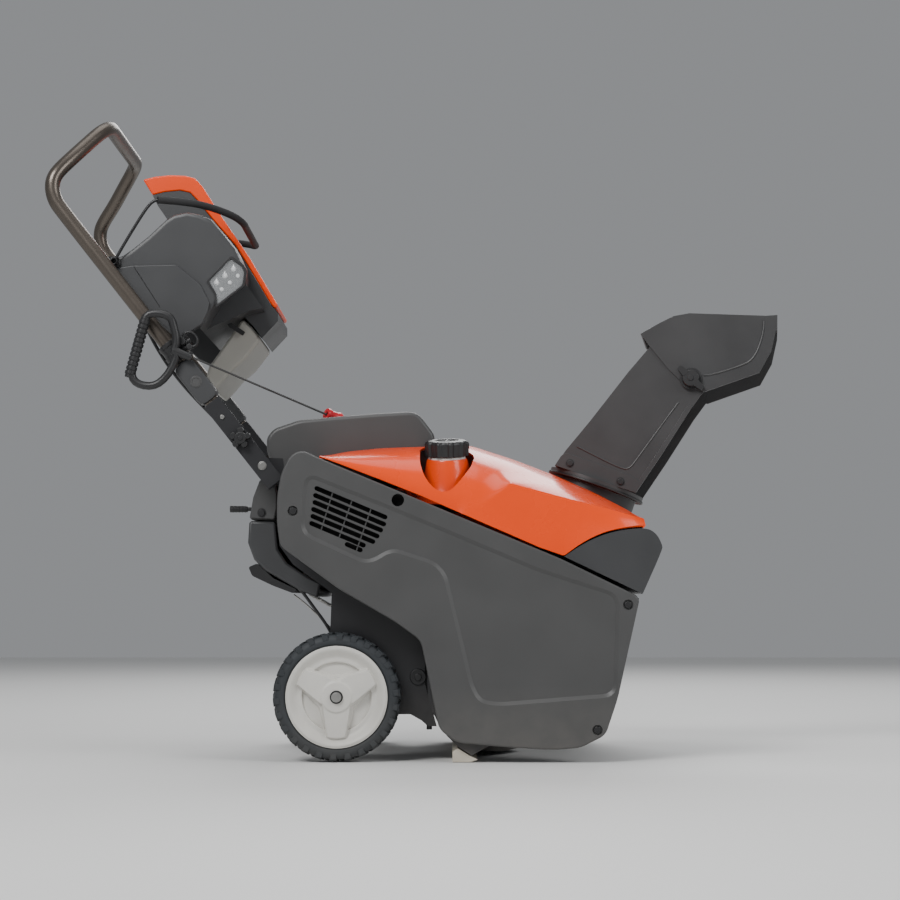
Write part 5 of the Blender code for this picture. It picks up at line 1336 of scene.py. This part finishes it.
class BuildRecoil(bpy.types.Operator):
    """Ribbed pull handle, its rope and the red rope guide"""

    bl_idname = "snow_blower.recoil"
    bl_label = "Recoil starter"

    def execute(self, context):
        low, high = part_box("recoil_handle")
        y = (low.y + high.y) / 2
        line = [(-0.455, 0.646), (-0.449, 0.662), (-0.4555, 0.690), (-0.4600, 0.7000),
                (-0.472, 0.7060), (-0.492, 0.7068), (-0.501, 0.6990), (-0.506, 0.678),
                (-0.5135, 0.655), (-0.521, 0.612), (-0.517, 0.599), (-0.505, 0.592),
                (-0.488, 0.5905), (-0.474, 0.597), (-0.459, 0.615), (-0.449, 0.640)]
        ring = eased([(x, y, z) for x, z in line], 1, True)
        grip = bead_mesh("pull_ring", ring, 0.0064, 6, True)
        count = context.scene.snow_blower_sizes.grip_ribs
        ribs = []
        top, foot = Vector((-0.5000, y, 0.6960)), Vector((-0.5235, y, 0.6080))
        for number in range(count):
            share = (number + 0.5) / count
            centre = top.lerp(foot, share)
            way = (foot - top).normalized()
            rib = bmesh.new()
            add_rod(rib, centre - way * 0.0027, centre + way * 0.0027, 0.0088, 28, None, 0.0008)
            ribs.append(link_mesh("rib", rib))
        neck = bmesh.new()
        add_rod(neck, top - way * 0.004, foot + way * 0.004, 0.0074, 28, None, 0.0010)
        add_rod(neck, (-0.456, y, 0.6475), (-0.4262, y, 0.6358), 0.0078, 28, 0.0056, 0.0010)
        ribs.append(link_mesh("neck", neck))
        join(grip, ribs)
        dress(grip, "Black plastic", "recoil_handle", ("recoil_handle",), 40)
        rope_low, rope_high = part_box("recoil_rope")
        start = Vector((rope_low.x + 0.001, rope_low.y + 0.001, rope_high.z - 0.0005))
        end = Vector((rope_high.x - 0.001, rope_high.y - 0.001, rope_low.z + 0.0005))
        way = end - start
        length = way.length
        side = way.normalized().cross(Vector((0, 0, 1))).normalized()
        up = side.cross(way.normalized())
        strands = []
        for strand in range(3):
            points = []
            for number in range(241):
                angle = math.tau * (number / 240 * length / STRAND_LAY + strand / 3)
                points.append(start + way * number / 240
                              + side * (STRAND_OFFSET * math.cos(angle))
                              + up * (STRAND_OFFSET * math.sin(angle)))
            strands.append(bead_mesh("recoil_cord", points, STRAND_RADIUS, 2))
        rope = join(strands[0], strands[1:])
        rope.data.materials.clear()
        rope.data.materials.append(bpy.data.materials["Rope fibre"])
        rope.data.shade_smooth()
        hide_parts("recoil_rope")
        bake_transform(rope)
        guide_low, guide_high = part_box("rope_guide")
        centre = (guide_low + guide_high) / 2
        axis = -way.normalized()
        guide = bmesh.new()
        add_spun(guide, [(0.0032, -0.016), (0.0100, -0.016), (0.0112, -0.012), (0.0092, -0.006),
                         (0.0088, 0.004), (0.0104, 0.009), (0.0096, 0.0128), (0.0050, 0.0134),
                         (0.0032, 0.0120)], centre, axis, 48)
        piece("red_guide", guide, "Red plastic", "chassis", ("rope_guide",))
        return {"FINISHED"}


class BuildStage(bpy.types.Operator):
    """Pale floor, soft studio light and the camera"""

    bl_idname = "snow_blower.stage"
    bl_label = "Stage"

    def execute(self, context):
        scene = context.scene
        bm = bmesh.new()
        bmesh.ops.create_grid(bm, x_segments=1, y_segments=1, size=6.0)
        floor = linked("floor", mesh_from("floor", bm))
        floor.location = (0.0, 0.0, -FLOOR_DROP)
        pale = bpy.data.materials.new("Pale floor")
        pale.use_nodes = True
        shader = pale.node_tree.nodes["Principled BSDF"]
        shader.inputs["Base Color"].default_value = (0.72, 0.72, 0.71, 1.0)
        shader.inputs["Roughness"].default_value = 0.6
        floor.data.materials.append(pale)
        world = bpy.data.worlds.new("Studio")
        world.use_nodes = True
        sky = world.node_tree.nodes["Background"]
        sky.inputs["Color"].default_value = (0.80, 0.82, 0.85, 1.0)
        sky.inputs["Strength"].default_value = 0.34
        scene.world = world
        for name, place, aim, size, power in (
                ("key", (-1.6, -2.6, 2.8), (0.0, 0.0, 0.4), 1.4, 100.0),
                ("side", (2.6, -2.2, 2.0), (0.1, 0.0, 0.4), 1.5, 45.0),
                ("back", (0.4, 3.0, 2.8), (0.0, 0.0, 0.4), 2.0, 70.0),
                ("top", (0.0, 0.0, 3.6), (0.0, 0.0, 0.5), 2.2, 34.0)):
            light = bpy.data.lights.new(name, "AREA")
            light.size = size
            light.energy = power
            lamp = linked(name, light)
            lamp.location = place
            way = Vector(aim) - Vector(place)
            lamp.rotation_euler = way.to_track_quat("-Z", "Y").to_euler()
        view = bpy.data.cameras.new("camera")
        view.sensor_width = 36.0
        view.lens = CAMERA_LENS
        view.clip_end = 50.0
        camera = linked("camera", view)
        camera.location = CAMERA_PLACE
        camera.rotation_euler = (math.radians(90.0 + CAMERA_TILT), 0.0, 0.0)
        scene.camera = camera
        return {"FINISHED"}


PIECES = (FinishNodes, BuildSidePanels, BuildHood, BuildFuelCap, BuildWheels, BuildCovers,
          BuildChoke, BuildChute, BuildConsole, BuildHandle, BuildBail, BuildRecoil, BuildStage)


class SnowBlowerPanel(bpy.types.Panel):
    """Lists the pieces in the sidebar"""

    bl_idname = "VIEW3D_PT_snow_blower"
    bl_label = "Snow blower"
    bl_space_type = "VIEW_3D"
    bl_region_type = "UI"
    bl_category = "Snow blower"

    def draw(self, context):
        layout = self.layout
        for group in (context.scene.snow_blower_colours, context.scene.snow_blower_sizes):
            for name in group.__annotations__:
                layout.prop(group, name)
        for operator in PIECES:
            layout.operator(operator.bl_idname)


CLASSES = (SnowBlowerColours, SnowBlowerSizes, *PIECES, SnowBlowerPanel)


def register():
    for item in CLASSES:
        bpy.utils.register_class(item)
    bpy.types.Scene.snow_blower_colours = bpy.props.PointerProperty(type=SnowBlowerColours)
    bpy.types.Scene.snow_blower_sizes = bpy.props.PointerProperty(type=SnowBlowerSizes)


def unregister():
    del bpy.types.Scene.snow_blower_sizes
    del bpy.types.Scene.snow_blower_colours
    for item in reversed(CLASSES):
        bpy.utils.unregister_class(item)


def main():
    register()
    for operator in PIECES:
        group, name = operator.bl_idname.split(".")
        getattr(getattr(bpy.ops, group), name)()


if __name__ == "__main__":
    main()
